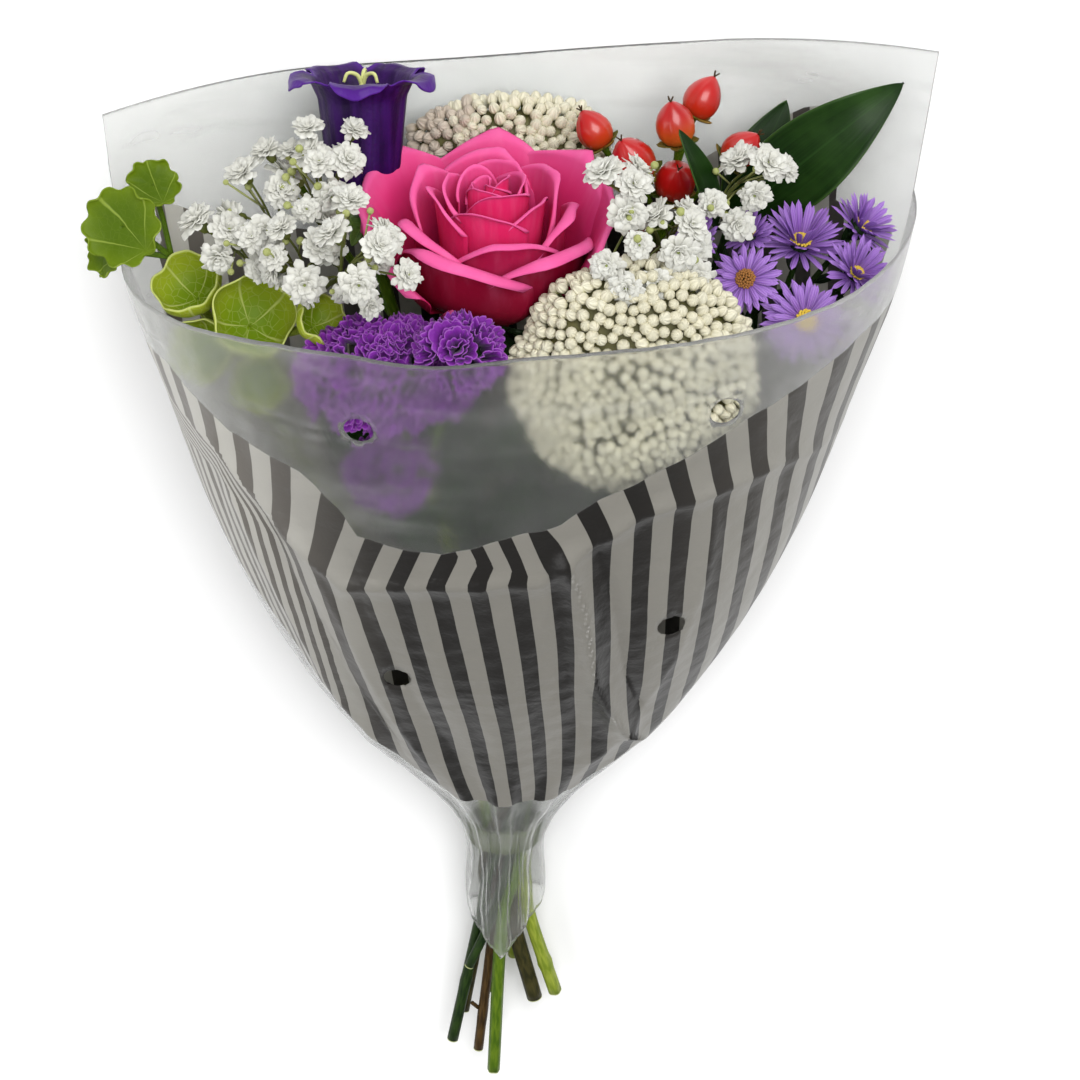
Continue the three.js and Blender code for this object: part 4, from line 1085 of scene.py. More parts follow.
def make_statice():
    numbers = np.random.default_rng(9)
    look = make_statice_look()
    parts = [(main_stem("statice", 1.8, vec(-13, 115, 50), STATICE_FORK), STEM_PALE)]
    calyxes = []
    for middle, size, count in STATICE_DOMES:
        half_way = (STATICE_FORK + middle) / 2 + vec(0, 0, 3)
        parts.append((tube([STATICE_FORK, half_way, middle], 1.4, 8, 8), STEM_GREEN))
        for k, way in enumerate(spread_directions(count, 0.02)):
            way = unit(tilted_about_x(way, -0.6) + 0.12 * numbers.normal(size=3))
            foot = middle + way * size * 0.75
            radius = numbers.uniform(5.4, 7.0)
            shape = join([ruffle(radius, 72, k % 7), ruffle(0.56 * radius, 44, k % 7 + 9)])
            turn = facing(way, numbers.uniform(0, 6))
            calyxes.append((shape.turned(turn, foot, 0.95, numbers.uniform()), look))
    add_piece("statice_calyxes", calyxes, "statice_purple", "statice")
    add_piece("statice_stem", parts, "stem_green", "statice")


make_statice()

# ----------------------------------------------------------
# Gypsophila: small double florets on branching olive twigs

FLORET_RADIUS = 6.2
FULLNESS = 1.02
TO_VIEWER = vec(-0.1, 0.4, 0.9)
# Each spray's seed and the points its stem goes on through; its clusters, as their middle, how many florets,
# and how wide; and the places of the florets between them.
GYPSOPHILA = {
    "gypsophila_left": (
        11,
        [vec(-27, 120, 44), vec(-56, 200, 62), vec(-62, 232, 74)],
        [
            ((-53, 281, 76), 4, 10), ((-75, 269, 71), 5, 12), ((-60, 260, 93), 5, 12), ((-90, 260, 76), 3, 8),
            ((-42, 269, 113), 4, 11),
        ],
        [
            (-66, 285, 66), (-84, 276, 62), (-46, 292, 66), (-70, 252, 88), (-38, 262, 100), (-60, 274, 88),
            (-78, 264, 86), (-48, 252, 100), (-74, 284, 64), (-70, 262, 98), (-56, 288, 84), (-70, 276, 78),
            (-60, 294, 70), (-52, 262, 96), (-76, 252, 84), (-60, 250, 98), (-46, 280, 96), (-34, 272, 108),
            (-28, 262, 112), (-40, 250, 108),
        ],
    ),
    "gypsophila_right": (
        23,
        [vec(28, 120, 36), vec(50, 200, 47), vec(54, 244, 54)],
        [((39, 281, 90), 4, 8), ((54, 269, 94), 4, 8), ((80, 276, 66), 4, 8)],
        [
            (62, 262, 90), (34, 262, 104), (50, 256, 104), (76, 264, 76), (92, 276, 58), (62, 256, 98),
            (44, 268, 102), (68, 272, 78), (40, 256, 108),
        ],
    ),
}

# Rings of petals in a floret: how many, how long, how far they lean out, and how wide.
FLORET_RINGS = [
    (13, 1.06, 1.42, 0.5),
    (13, 1.0, 1.14, 0.48),
    (11, 0.9, 0.84, 0.44),
    (9, 0.76, 0.54, 0.4),
    (5, 0.6, 0.25, 0.34),
]


def floret_petal(width, reach, jag, curl, twist):
    def at(u, v):
        half = width / 2 * (0.25 + 0.75 * v**0.7)
        along = reach * v * (1 + jag * v**3 - 0.14 * u * u * v**2)
        return u * half, along, curl * v**2 + (twist * u + 0.5 * u * u) * half

    return blade(4, 4, 0.03, at)


def make_floret(seed):
    """A floret of unit radius about +Z: rings of narrow, jagged petals round a greenish middle."""
    numbers = np.random.default_rng(seed)
    petals = []
    for count, length, tilt, width in FLORET_RINGS:
        for i in range(count):
            reach = length * numbers.uniform(0.82, 1.1)
            jag = numbers.uniform(-0.1, 0.1, 4)
            petal = floret_petal(width, reach, jag, numbers.uniform(-0.3, 0.05), numbers.uniform(-0.35, 0.35))
            lie = turned_by(PI / 2 - tilt + numbers.uniform(-0.18, 0.18))
            spin = turned_by(about_z=TAU * (i + numbers.uniform(-0.4, 0.4)) / count)
            petals.append(petal.turned(spin @ lie, tag=numbers.uniform()))
    middle = ball(2)
    middle.place[:, 1] = 0
    petals.append(middle.turned(UNTURNED, (0, 0, 0.1), 0.14))
    return join(petals)


def make_floret_look():
    look = Look("gypsophila_petal")
    base = look.ramp(look.along, 0.0, 0.4, rgb(160, 172, 100), rgb(238, 238, 232))
    base = look.blend(look.times(look.copy, 0.35), base, rgb(208, 206, 194))
    return look.surface(base, 0.6, (look.noise(900, 2), 0.0003, 0.4), 0.34, 0.2)


def make_gypsophila(name, seed, onward, clusters, extra, petal_look):
    random_number = random_from(seed)
    numbers = np.random.default_rng(seed)
    florets = [make_floret(seed + k) for k in range(4)]
    fork = onward[-1]
    calyx = lathe([(0.4, -4.2), (1.3, -3.6), (1.9, -1.6), (1.7, -0.4), (0.6, 0)], 8)
    bud = ball(2)
    bud_look = make_simple(name + "_bud", rgb(112, 122, 48), rgb(178, 182, 118), 0.6, 900)
    petals = []
    green = [(main_stem(name, 1.2, *onward), STEM_OLIVE)]

    def add_floret(place, way, radius, knot, spin):
        """A floret with its calyx and twig, and beside them a shorter twig with a bud."""
        pick = florets[len(petals) % len(florets)]
        petals.append((pick.turned(facing(way, spin), place, FULLNESS * radius), petal_look))
        ahead = unit(way)
        foot = place - ahead * 0.9
        root = foot - ahead * 4
        bend = (knot + root) / 2 + vec(0, 1.5, -1)
        end = bend + unit(ahead + TO_VIEWER + numbers.normal(size=3) * 0.6) * numbers.uniform(9, 19)
        green.extend([
            (calyx.turned(facing(way), foot, radius / FLORET_RADIUS), TWIG_GREEN),
            (tube([knot, bend, root, foot - ahead * 2], 0.42, 5, 8), TWIG_GREEN),
            (tube([bend, end], 0.34, 4, 2), bud_look),
            (bud.turned(UNTURNED, end, numbers.uniform(0.9, 1.5)), bud_look),
        ])

    knots = []
    for middle, count, size in clusters:
        knot = fork + 0.62 * (vec(*middle) - fork)
        knots.append(knot)
        green.append((tube([fork, (fork + knot) / 2 + vec(0, 2, -2), knot], 0.85, 7, 8), TWIG_GREEN))
        green.append((bud.turned(UNTURNED, knot, 1.3), TWIG_GREEN))
        for way in spread_directions(count, -0.35):
            jitter = vec(*(random_number(-1, 1) for _ in range(3))) * 1.6
            tilted = tilted_about_x(way, -0.9)
            radius = FLORET_RADIUS * random_number(0.86, 1.06)
            place = middle + tilted * size + jitter
            add_floret(place, tilted * 1.2 + vec(0, 0.5, 0.6), radius, knot, random_number(0, 6))
    for place in extra:
        knot = min(knots, key=lambda k: np.linalg.norm(k - place))
        way = unit(place - knot) + vec(0, 0.3, 0.6)
        radius = FLORET_RADIUS * numbers.uniform(0.7, 0.92)
        add_floret(np.array(place), way, radius, knot, numbers.uniform(0, 6))
    add_piece(name + "_florets", petals, "gypsophila_white", name)
    add_piece(name + "_twigs", green, "stem_green", name)


floret_look = make_floret_look()
for name, spray in GYPSOPHILA.items():
    make_gypsophila(name, *spray, floret_look)

# ----------------------------------------------------------
# Asters: narrow rays round a disc, over a leafy stem

ASTER_RADIUS = 15.5
# Each head's middle, the way it faces, its size, how far its rays stand up as a cup, and how long they are.
ASTER_HEADS = [
    (vec(98, 249, 57), vec(0.1, 1, 0.25), 0.88, 7, 1.34),
    (vec(81, 255, 64), vec(-0.3, 1, 0.4), 0.58, 9, 1.3),
    (vec(79, 247, 81), vec(-0.2, 0.7, 1), 0.82, 1, 1.0),
    (vec(98, 234, 84), vec(0.2, 0.6, 1), 0.88, 1.5, 1.15),
    (vec(64, 259, 76), vec(-0.8, 0.7, 0.5), 0.6, 6, 1.2),
    (vec(115, 244, 70), vec(0.5, 0.9, 0.6), 0.68, 8, 1.45),
    (vec(118, 252, 50), vec(0.8, 0.9, 0.2), 0.8, 6, 1.2),
    (vec(109, 222, 69), vec(0.5, 0.4, 1), 0.66, 8, 1.4),
]
BROWN_DISC = 3
# Layers of rays from the outside in: how many, their share of the reach, how much of the cup's rise they
# take, and how high they stand.
ASTER_LAYERS = [(22, 1.0, 0.7, -1.2), (20, 0.96, 1.2, 0.6), (14, 0.8, 1.7, 1.2)]
STEEPNESS = 0.024
RAY_FOOT = 2.2
BRACTS = 14
STALK_GAP = 0.4
ASTER_FORK = vec(84, 206, 52)
# Leaves on the stem: foot, tip and width.
ASTER_LEAVES = [
    (vec(76, 190, 46), vec(118, 226, 48), 11),
    (vec(84, 204, 52), vec(96, 240, 68), 9),
    (vec(70, 178, 42), vec(72, 216, 66), 10),
]


def make_ray_look():
    look = Look("aster_ray")
    streaks = look.streaks(3, 1.5, 3)
    groove_and_highlight = look.maths("ABSOLUTE", look.maths("SINE", look.times(look.across, 4.5)))
    base = look.ramp(look.along, 0.1, 0.9, rgb(122, 70, 168), rgb(166, 116, 210))
    base = look.blend(look.times(look.copy, 0.4), base, rgb(178, 136, 218))
    # pale lines along each ray, over its grooves, are painted highlight
    base = look.blend(look.times(look.span(groove_and_highlight, 0.5, 0.0), 0.5), base, rgb(214, 192, 230))
    return look.surface(base, 0.55, (look.maths("ADD", groove_and_highlight, streaks), 0.0004, 0.6), 0.15, 0.2)


def aster_ray(length, width, lift, droop, columns=4, rows=7):
    def at(u, v):
        round_tip = np.sqrt(np.maximum(0, 1 - v**9))
        half = width / 2 * (0.45 + 0.55 * np.sin(PI / 2 * np.minimum(1, 1.6 * v))) * round_tip
        return u * half, length * v, lift * v - droop * v**3 + 0.18 * half * (1 - u * u)

    return blade(columns, rows, 0.22, at)


def make_aster_head(number, middle, way, size, rise, stretch, ray_look, disc_look, green_look):
    numbers = np.random.default_rng(number)
    reach = stretch * ASTER_RADIUS * size
    parts = []
    for count, share, lift, foot_height in ASTER_LAYERS:
        for i in range(count):
            length = reach * (share - STEEPNESS * lift * rise) * numbers.uniform(0.84, 1.05) - RAY_FOOT
            height = (lift * rise + foot_height + numbers.uniform(-1.0, 1.8)) * size
            ray = aster_ray(length, 1.7 * size + 0.6, height, numbers.uniform(0, 2.0))
            spin = turned_by(about_z=TAU * (i + numbers.uniform(-0.3, 0.3)) / count)
            foot = spin @ vec(0, RAY_FOOT * size, foot_height * size)
            parts.append((ray.turned(spin, foot, 1, numbers.uniform()), ray_look))
    speck = ball(1)
    for direction in spread_directions(60, 0.25):
        place = direction * vec(3.9, 3.9, 2.4) * size + vec(0, 0, 1.6 * size)
        parts.append((speck.turned(facing(direction), place, 0.62 * size, numbers.uniform()), disc_look))
    calyx = lathe([(0.9, -5.0), (2.0, -4.7), (3.2, -3.2), (3.7, -1.6), (3.4, 0.4), (2.0, 1.8)], 20)
    calyx.points *= (size, size, 1)
    parts.append((calyx, green_look))
    bract = aster_ray(3.6, 1.1, 0.8, -0.5, 3, 4)
    for ring in (0, 1):
        lean = turned_by(0.9 - 0.5 * ring)
        for i in range(BRACTS):
            spin = turned_by(about_z=TAU * (i + 0.5 * ring) / BRACTS)
            foot = spin @ vec(0, (RAY_FOOT + ring * 0.8) * size, -4.2 + 1.6 * ring)
            parts.append((bract.turned(spin @ lean, foot), green_look))
    turn = facing(way, number)
    parts = [(shape.turned(turn, middle), look) for shape, look in parts]
    add_piece(f"aster_flower_{number}", parts, "aster_lavender", f"aster_head_{number}")


def make_aster_stem(green):
    numbers = np.random.default_rng(77)
    parts = [(main_stem("aster", 1.7, vec(46, 120, 22), ASTER_FORK, nodes=(0.085,)), STEM_DARK)]
    for middle, way, *_ in ASTER_HEADS:
        ahead = unit(way)
        base = middle - ahead * (5 + STALK_GAP)
        bend = ASTER_FORK + 0.6 * (base - ASTER_FORK) - 4 * ahead
        parts.append((tube([ASTER_FORK, bend, base], 1.05, 8, 12), STEM_DARK))
        for _ in range(3):
            foot = bend + numbers.uniform(0, 0.9) * (base - bend)
            out = unit(ahead + 0.9 * numbers.normal(size=3))
            parts.append((leaf(foot, foot + out * 11, 3.0, UP + 0.1, bend=0.1, columns=5, rows=10), green))
    for base, tip, width in ASTER_LEAVES:
        parts.append((leaf(base, tip, width, UP, bend=0.06, cup=0.2, wave=0.5), green))
    add_piece("aster_stem_and_leaves", parts, "stem_green", "aster_stem")


def make_asters():
    ray_look = make_ray_look()
    yellow = make_simple("aster_disc_yellow", rgb(206, 168, 40), rgb(232, 206, 84), 0.7, 900)
    brown = make_simple("aster_disc_brown", rgb(120, 74, 34), rgb(176, 120, 52), 0.7, 900)
    green = make_leaf_look("aster_leaf", rgb(12, 26, 10), rgb(28, 48, 18))
    for number, head in enumerate(ASTER_HEADS, 1):
        make_aster_head(number, *head, ray_look, brown if number == BROWN_DISC else yellow, green)
    make_aster_stem(green)


make_asters()

# ----------------------------------------------------------
# Hypericum: glossy berries with three ribs, a dry tip and sepals

BERRY_RADIUS = 6.2
# Each berry's middle, size, the way it points, and how unripe it is.
BERRIES = [
    (vec(66, 290, 33), 1.0, vec(0.5, 1, -0.1), 0.0),
    (vec(57, 286, 46), 1.05, vec(-0.2, 1, 0.2), 1.0),
    (vec(43.5, 276, 52), 1.15, vec(-0.5, 1, 0.4), 0.2),
    (vec(57, 268, 49), 1.1, vec(0.1, 0.8, 0.8), 0.1),
    (vec(78, 277, 45), 0.95, vec(0.8, 0.8, 0.1), 0.0),
    (vec(31, 281, 38), 0.95, vec(-0.6, 1, 0), 0.3),
    (vec(44, 259, 61), 0.8, vec(-0.3, 0.6, 0.9), 0.1),
]
# Radii and heights of a berry of unit size, from its foot to its tip.
BERRY_PROFILE = [
    (0.12, -1.0), (0.45, -0.94), (0.74, -0.74), (0.94, -0.4), (1.0, -0.05), (0.96, 0.3), (0.82, 0.66),
    (0.6, 0.98), (0.36, 1.22), (0.18, 1.36), (0.08, 1.42),
]
BERRY_TIP = 1.42
THIRD_OF_TURN = 2.1
HYPERICUM_FORK = vec(52, 240, 34)
STUB = [vec(-10.8, -88, 14.5), vec(-13.2, -84.5, 16)]


def make_berry_look():
    look = Look("hypericum_berry")
    unripe = look.times(look.span(look.along, 0.7, 0.0), look.times(look.copy, 0.75, plus=0.15))
    base = look.blend(look.noise(120, 3), rgb(150, 8, 10), rgb(190, 18, 18))
    base = look.blend(unripe, base, rgb(216, 122, 40))
    return look.surface(base, 0.3, (look.noise(260, 2), 0.0004, 0.2), Coat_Weight=0.2, Coat_Roughness=0.12)


def ribbed(turn, ring):
    return 1 - 0.07 * np.exp(-((np.sin(1.5 * turn) / 0.22) ** 2)) * min(1, ring / 4)


def swollen(t):
    """A stalk's radius, which grows just under its berry."""
    return 0.95 + 0.5 * np.maximum(0, t - 0.9) * 10


def make_hypericum():
    berry_look = make_berry_look()
    sepal_look = make_leaf_look("hypericum_sepal", rgb(60, 82, 26), rgb(136, 104, 40))
    berry = lathe(BERRY_PROFILE, 42, ribbed)
    stem = main_stem("hypericum", 1.5, vec(28, 120, 24), vec(44, 190, 28), HYPERICUM_FORK, nodes=(0.05,))
    green = [(stem, STEM_BROWN), (tube(STUB, 0.8, 8, 3), STEM_BROWN)]
    berries = []
    for place, size, way, unripe in BERRIES:
        radius = BERRY_RADIUS * size
        ahead = unit(way)
        turn = facing(way, 5 * size)
        berries.append((berry.turned(turn, place, radius, unripe), berry_look))
        base = place - 0.95 * radius * ahead
        bend = HYPERICUM_FORK + 0.55 * (base - HYPERICUM_FORK) - 3 * ahead
        green.append((tube([HYPERICUM_FORK, bend, base], swollen, 8, 14), STEM_GREEN))
        tip = place + ahead * radius * BERRY_TIP
        for k in range(3):
            lean = turn @ ring_way(THIRD_OF_TURN * k)
            green.append((tube([tip, tip + ahead * 1.8 + lean * 1.1], 0.28, 5, 3), STEM_BROWN))
        form = {"cup": 0.3, "bend": -0.08, "columns": 7, "rows": 10}
        sepals = five_sepals(base, turn, FIFTH_OF_TURN, 1, 1.15 * radius, 1.6, 4.6 * size, **form)
        green.extend((sepal, sepal_look) for sepal in sepals)
    add_piece("hypericum_berries", berries, "berry_red", "hypericum")
    add_piece("hypericum_stem", green, "stem_green", "hypericum")


make_hypericum()

# ----------------------------------------------------------
# Ruscus: stiff, glossy leaves with fine lines along them

RUSCUS_FORK = vec(77, 248, 33)
RUSCUS_NARROW_BASE = vec(70, 259, 66)
RUSCUS_FACE = vec(0, 0.45, 0.9)


def make_ruscus_look():
    look = Look("ruscus_leaf")
    lines = look.streaks(24, 0.5, 3)
    side = look.maths("ABSOLUTE", look.across)
    base = look.ramp(lines, 0.3, 0.7, rgb(12, 34, 4), rgb(20, 46, 9))
    base = look.ramp(look.noise(45, 3), 0.45, 0.75, base, rgb(34, 62, 18))
    base = look.blend(look.times(look.span(side, 0.05, 0.0), 0.35), base, rgb(44, 78, 30))
    base = look.ramp(side, 0.93, 1.0, base, rgb(50, 76, 30))
    return look.surface(base, 0.36, (lines, 0.0004, 0.3), gloss=0.14)


def pointed(v):
    """Half the width of a ruscus leaf along its length."""
    return np.sin(PI * v**0.85) ** 0.8 * (1 - 0.15 * v) + 0.05 * (1 - v)


def make_ruscus():
    broad = leaf(
        RUSCUS_FORK, vec(131, 297, 36), 28, RUSCUS_FACE, bend=0.05, cup=0.22, wave=1.2, columns=17, rows=44,
        outline=pointed, seed=2, curl=0.12,
    )
    hinder = leaf(RUSCUS_FORK, vec(95, 285, 20), 20, RUSCUS_FACE, cup=0.2, wave=0.5, outline=pointed)
    stalk = tube([RUSCUS_FORK, vec(75, 253, 50), RUSCUS_NARROW_BASE], 1.2, 8, 10)
    narrow = leaf(
        RUSCUS_NARROW_BASE, vec(57, 294, 70), 11.5, vec(1, 0.3, 0.7), bend=0.04, cup=0.3, outline=pointed
    )
    stem = main_stem("ruscus", 1.5, vec(40, 130, 14), vec(68, 215, 26), RUSCUS_FORK)
    look = make_ruscus_look()
    parts = [(stem, STEM_DARK), (broad, look), (hinder, look), (stalk, STEM_DARK), (narrow, look)]
    add_piece("ruscus_leaves", parts, "leaf_dark", "ruscus")


make_ruscus()

# ----------------------------------------------------------
# Campanula: a bell with five lobes rolled back, its style, and the stem with calyx and bud

BELL_LENGTH = 46
BELL_AXIS = vec(0, math.cos(0.17), -math.sin(0.17))
BELL_BASE = vec(-44.5, 256, 45.5)
BELL_HEIGHTS = [0, 0.05, 0.16, 0.34, 0.6, 0.84, 0.95, 0.99, 0.98, 0.92]
BELL_RADII = [1.5, 5.6, 8.8, 11.8, 12.8, 14.0, 16.4, 19.6, 23.2, 24.4]
BELL_ROWS, BELL_COLUMNS = 50, 120
BELL_SPIN = 0.3
LOBES_FROM = 0.62
STYLE_LENGTH = 0.93 * BELL_LENGTH
# A branch of the stigma: how far out, and how high above the style's end.
STIGMA_ROUTE = [(0, -1), (1.8, 2.4), (5, 3.2), (6.4, 0.4)]
BUD_ROUTE = [vec(-66, 266, 46), vec(-67, 272, 48), vec(-68, 279, 50)]


def make_bell():
    turn = turns(BELL_COLUMNS)
    v = np.linspace(0, 1, BELL_ROWS)[:, None]
    lobe = np.cos(5 * turn)
    notch = ((1 - lobe) / 2) ** 2.5
    reached = v * (1 - 0.3 * notch * v**2)
    knots = np.linspace(0, 1, len(BELL_RADII))
    radius = np.interp(reached, knots, BELL_RADII)
    height = np.interp(reached, knots, BELL_HEIGHTS) * BELL_LENGTH
    past = np.maximum(0, (reached - LOBES_FROM) / (1 - LOBES_FROM))
    rib = 0.55 * np.exp(-((np.sin(2.5 * turn) / 0.18) ** 2)) * np.minimum(1, 3 * v) * (1 - past)
    reach = radius + rib + 0.35 * past * np.sin(15 * turn + 1)
    tips = 1.8 * (1 - lobe) * lobe**2 - 1.2 * np.maximum(0, lobe) ** 3
    lift = past**2 * tips + 0.5 * past * np.sin(10 * turn)
    return bowl(turn, v, reach, height + lift, 0.5, flip=True)


def make_bell_look():
    look = Look("campanula_petal")
    veins = look.streaks(13, 3, 5)
    base = look.ramp(veins, 0.3, 0.7, rgb(30, 4, 54), rgb(56, 14, 92))
    base = look.ramp(look.along, 0.7, 1.0, base, rgb(76, 24, 130))
    height = look.maths("ADD", veins, look.times(look.noise(700, 3), 0.5))
    return look.surface(base, 0.42, (height, 0.0006, 0.6), 0.08, 0.2)


def make_campanula_style():
    look = make_simple("campanula_style_green", rgb(184, 190, 108), rgb(212, 214, 146), 0.5, 600)
    shapes = [tube([vec(0, 0, 1.2), vec(0.6, 0, STYLE_LENGTH / 2), vec(0, 0, STYLE_LENGTH)], 1.0, 12, 12)]
    for i in range(3):
        out = ring_way(0.4 + TAU * i / 3)
        route = [r * out + vec(0, 0, STYLE_LENGTH + z) for r, z in STIGMA_ROUTE]
        shapes.append(tube(route, lambda t: 0.8 - 0.3 * t, 10, 14))
    parts = [(shape.turned(facing(BELL_AXIS), BELL_BASE), look) for shape in shapes]
    add_piece("campanula_style_and_stigma", parts, "style_green", "campanula_style")


def bud_radius(t):
    return 1 + 3.4 * np.sin(PI * np.minimum(1, 0.12 + 0.86 * t))


def make_campanula_stem():
    top, calyx_top = (BELL_BASE - d * BELL_AXIS for d in (4, 0.5))
    turn = facing(BELL_AXIS)
    green = make_leaf_look("campanula_sepal", rgb(74, 104, 44), rgb(120, 150, 70))
    profile = [(1.6, -6.4), (3.0, -5.8), (4.4, -4.2), (5.4, -2.0), (5.6, -0.8), (4.0, -0.5)]
    calyx = lathe(profile, 30, lambda angle, k: 1 + 0.05 * np.cos(10 * angle))
    stem = main_stem("campanula", 2, vec(-14, 120, 14), vec(-33, 200, 30), top, ridges=5)
    parts = [(stem, STEM_GREEN), (calyx.turned(turn, calyx_top), green)]
    sepals = five_sepals(top, turn, FIFTH_OF_TURN, 3, 12, -5, 4.5, cup=0.3, columns=7, rows=12)
    parts.extend((sepal, green) for sepal in sepals)
    parts.append((tube([vec(-35, 210, 32), vec(-54, 240, 34), BUD_ROUTE[0]], 1.3, 10, 16), STEM_GREEN))
    bud = tube(BUD_ROUTE, bud_radius, 20, 18, lambda angle: 1 + 0.10 * np.cos(5 * angle))
    parts.append((bud, make_simple("campanula_bud", rgb(116, 128, 56), rgb(172, 172, 96), 0.55, 400)))
    add_piece("campanula_stem_and_bud", parts, "stem_green", "campanula_stem")


def make_campanula():
    bell = make_bell().turned(facing(BELL_AXIS, BELL_SPIN), BELL_BASE)
    add_piece("campanula_flower", [(bell, make_bell_look())], "bell_violet", "campanula_bell")
    make_campanula_style()
    make_campanula_stem()


make_campanula()

# ----------------------------------------------------------
# Moluccella: scalloped leaves and net-veined bells

MOLUCCELLA_TIP = vec(-107, 246, 60)
MOLUCCELLA_HUB = vec(-92, 214, 56)
# Each one's middle, the way it faces, and its radius.
MOLUCCELLA_BELLS = [
    (vec(-80, 232, 82), vec(0.2, 0.7, 0.8), 14),
    (vec(-99, 236, 68), vec(-0.3, 0.9, 0.6), 12),
    (vec(-95, 220, 74), vec(-0.3, 0.3, 1), 11),
    (vec(-79, 208, 72), vec(0.1, 0.2, 1), 10),
    (vec(-59, 236, 92), vec(0.6, 0.7, 0.6), 9),
]
MOLUCCELLA_LEAVES = [
    (vec(-121, 260, 68), vec(-0.2, 0.3, 1), 13.5),
    (vec(-112, 270, 58), vec(0.3, 0.8, 0.7), 9),
    (vec(-128, 248, 62), vec(-0.8, 0.2, 0.7), 8),
]


def scalloped_dish(radius, depth, lobes, notch, ripple, seed, root=None):
    """A round blade. Its veins spread from its middle, or from a root on its edge at the given angle."""
    turn = turns(96)
    v = np.linspace(0.01, 1, 20)[:, None]
    r = radius * np.sin(PI / 2 * v) * (1 - notch * (0.5 - 0.5 * np.cos(lobes * turn)) ** 1.6 * v**2)
    z = depth * v**2 + ripple * v**2 * (np.sin(5 * turn + seed) + 0.5 * np.sin(9 * turn + 2 * seed))
    vein = None
    if root is not None:
        x = r * np.cos(turn) - 0.8 * radius * math.cos(root)
        y = r * np.sin(turn) - 0.8 * radius * math.sin(root)
        vein = (np.arctan2(y, x) - root) % TAU / PI - 1
    return bowl(turn, v, r, z, 0.5, across=vein)


def make_net_look(name, low, high, net, spokes, net_cells, web_share):
    """Veins that spread like spokes, and a finer net between them."""
    look = Look(name)
    bent = look.times(look.noise(90, 2), 0.06, plus=look.across)
    spoke = look.maths("ABSOLUTE", look.maths("SINE", look.times(bent, spokes * PI / 2)))
    net_edges = look.add("TexVoronoi", Vector=look.spot(), Scale=net_cells, feature="DISTANCE_TO_EDGE")
    web = look.span(net_edges.outputs["Distance"], 0.06, 0.01)
    lines = look.most(look.span(spoke, 0.16, 0.03), look.times(web, web_share))
    base = look.ramp(look.along, 0.2, 1.0, low, high)
    base = look.blend(look.times(lines, 0.75), base, net)
    base = look.blend(look.times(look.span(look.along, 0.96, 1.0), 2.8 * web_share), base, net)
    return look.surface(base, 0.45, (lines, 0.0005, 0.5), 0.25, 0.15)


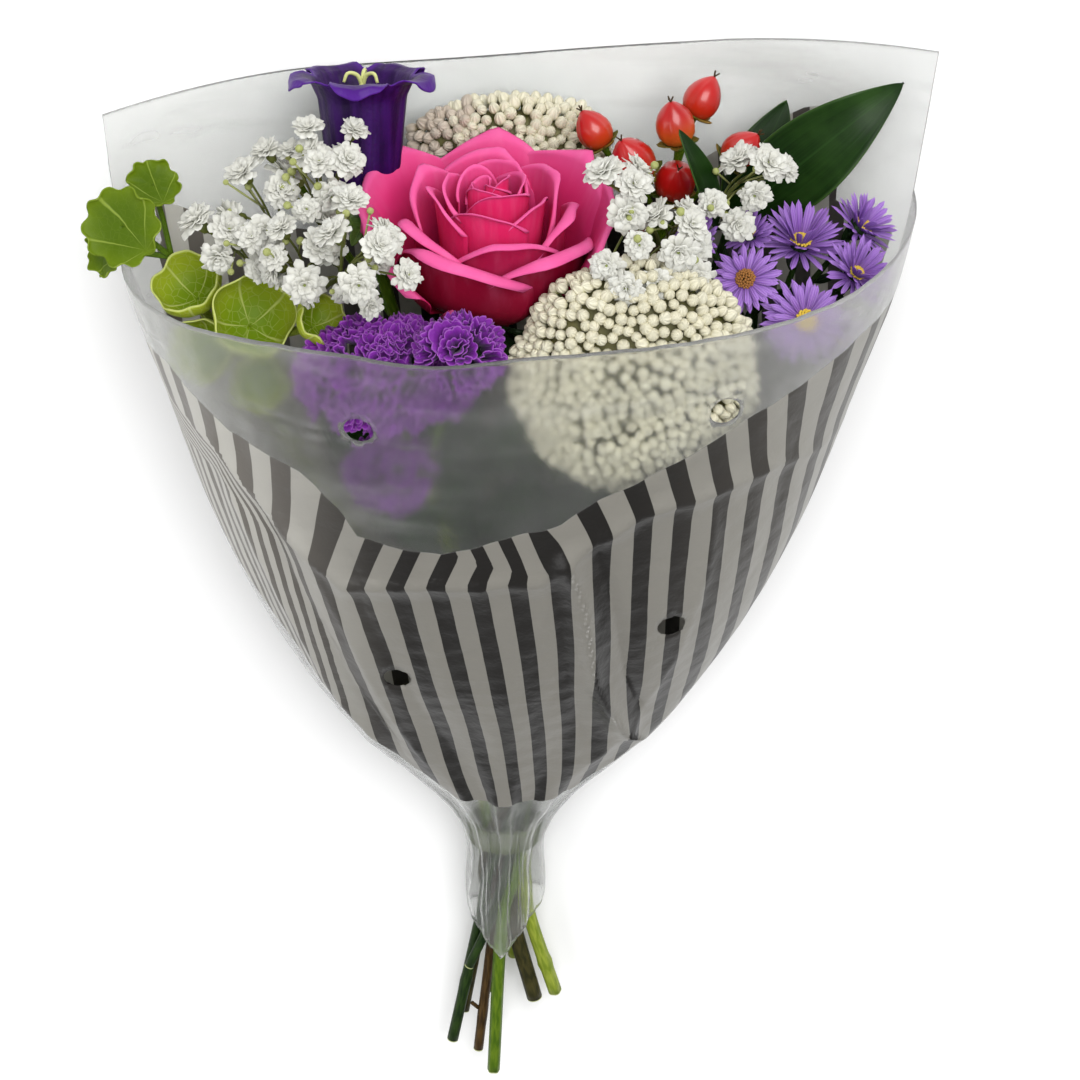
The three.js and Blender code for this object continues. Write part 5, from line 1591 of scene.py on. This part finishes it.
def make_moluccella():
    bell_look = make_net_look(
        "moluccella_bell", rgb(112, 140, 12), rgb(168, 182, 48), rgb(204, 212, 126), 5, 330.0, 0.35
    )
    leaf_look = make_net_look(
        "moluccella_leaf", rgb(80, 106, 6), rgb(110, 134, 20), rgb(150, 170, 68), 9, 480.0, 0.1
    )
    onward = vec(-52, 130, 34), vec(-88, 205, 54), MOLUCCELLA_TIP
    parts = [(main_stem("moluccella", 1.6, *onward, ridges=4, nodes=(0.045,)), STEM_PALE)]
    for k, (middle, way, radius) in enumerate(MOLUCCELLA_BELLS):
        ahead = unit(way)
        base = middle - 0.2 * radius * ahead
        bell = scalloped_dish(radius, 0.95 * radius, 5, 0.10, 0.7, k)
        parts.append((bell.turned(facing(way, 1), base), bell_look))
        bend = (base + MOLUCCELLA_HUB) / 2 - 3 * ahead
        parts.append((tube([MOLUCCELLA_HUB, bend, base], 1.5, 8, 10), STEM_PALE))
    for k, (middle, way, radius) in enumerate(MOLUCCELLA_LEAVES):
        turn = facing(way, 2)
        to_stalk = turn.T @ (MOLUCCELLA_TIP - middle)
        shape = scalloped_dish(radius, 2.2, 10, 0.13, 1.1, k, math.atan2(to_stalk[1], to_stalk[0]))
        parts.append((shape.turned(turn, middle), leaf_look))
        bend = (MOLUCCELLA_TIP + middle) / 2 - vec(0, 0, 2)
        parts.append((tube([MOLUCCELLA_TIP, bend, middle], 1, 8, 8), STEM_GREEN))
    add_piece("moluccella_spike", parts, "moluccella_green", "moluccella")


make_moluccella()

# ----------------------------------------------------------
# The elastic band keeps its solid

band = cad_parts["binding_band"]
band.data.materials.clear()
band.data.materials.append(make_simple("elastic", rgb(66, 78, 40), rgb(84, 96, 52), 0.8, 600))

# ----------------------------------------------------------
# Floor, light and camera

CAMERA_TILT = math.radians(28)
CAMERA_PLACE = vec(13.1, 652.6, 1021.2)
CAMERA_LENS = 106.3
FLOOR_HALF = 6
LIT_SPOT = Vector((0, 0, 0.05))


def add_object(name, data):
    thing = bpy.data.objects.new(name, data)
    bpy.context.scene.collection.objects.link(thing)
    return thing


def make_floor():
    mesh = bpy.data.meshes.new("floor")
    corners = [(FLOOR_HALF * x, FLOOR_HALF * y, 0) for x, y in ((-1, -1), (1, -1), (1, 1), (-1, 1))]
    mesh.from_pydata(corners, [], [(0, 1, 2, 3)])
    mesh.materials.append(make_simple("floor_paper", (0.9, 0.9, 0.9, 1), (0.92, 0.92, 0.92, 1), 0.9, 3))
    add_object("floor", mesh)


def add_light(name, place, size, power):
    data = bpy.data.lights.new(name, "AREA")
    data.size = size
    data.energy = power
    light = add_object(name, data)
    light.location = place
    light.rotation_euler = (LIT_SPOT - Vector(place)).to_track_quat("-Z", "Y").to_euler()


def make_studio():
    world = bpy.data.worlds.new("studio")
    world.use_nodes = True
    background = world.node_tree.nodes["Background"]
    background.inputs["Color"].default_value = (1, 1, 1, 1)
    background.inputs["Strength"].default_value = 0.55
    bpy.context.scene.world = world
    add_light("key", (0.5, 1.5, 2.2), 1.8, 68)
    add_light("fill", (-1.6, -0.4, 1.6), 1.6, 15)
    bpy.context.scene.view_settings.view_transform = "Standard"


def make_camera():
    data = bpy.data.cameras.new("camera")
    data.lens = CAMERA_LENS
    data.sensor_width = 36
    data.clip_end = 20
    camera = add_object("camera", data)
    camera.location = CAMERA_PLACE / 1000 + NECK
    camera.rotation_euler = Euler((-CAMERA_TILT, 0, 0))
    bpy.context.scene.camera = camera


make_floor()
make_studio()
make_camera()
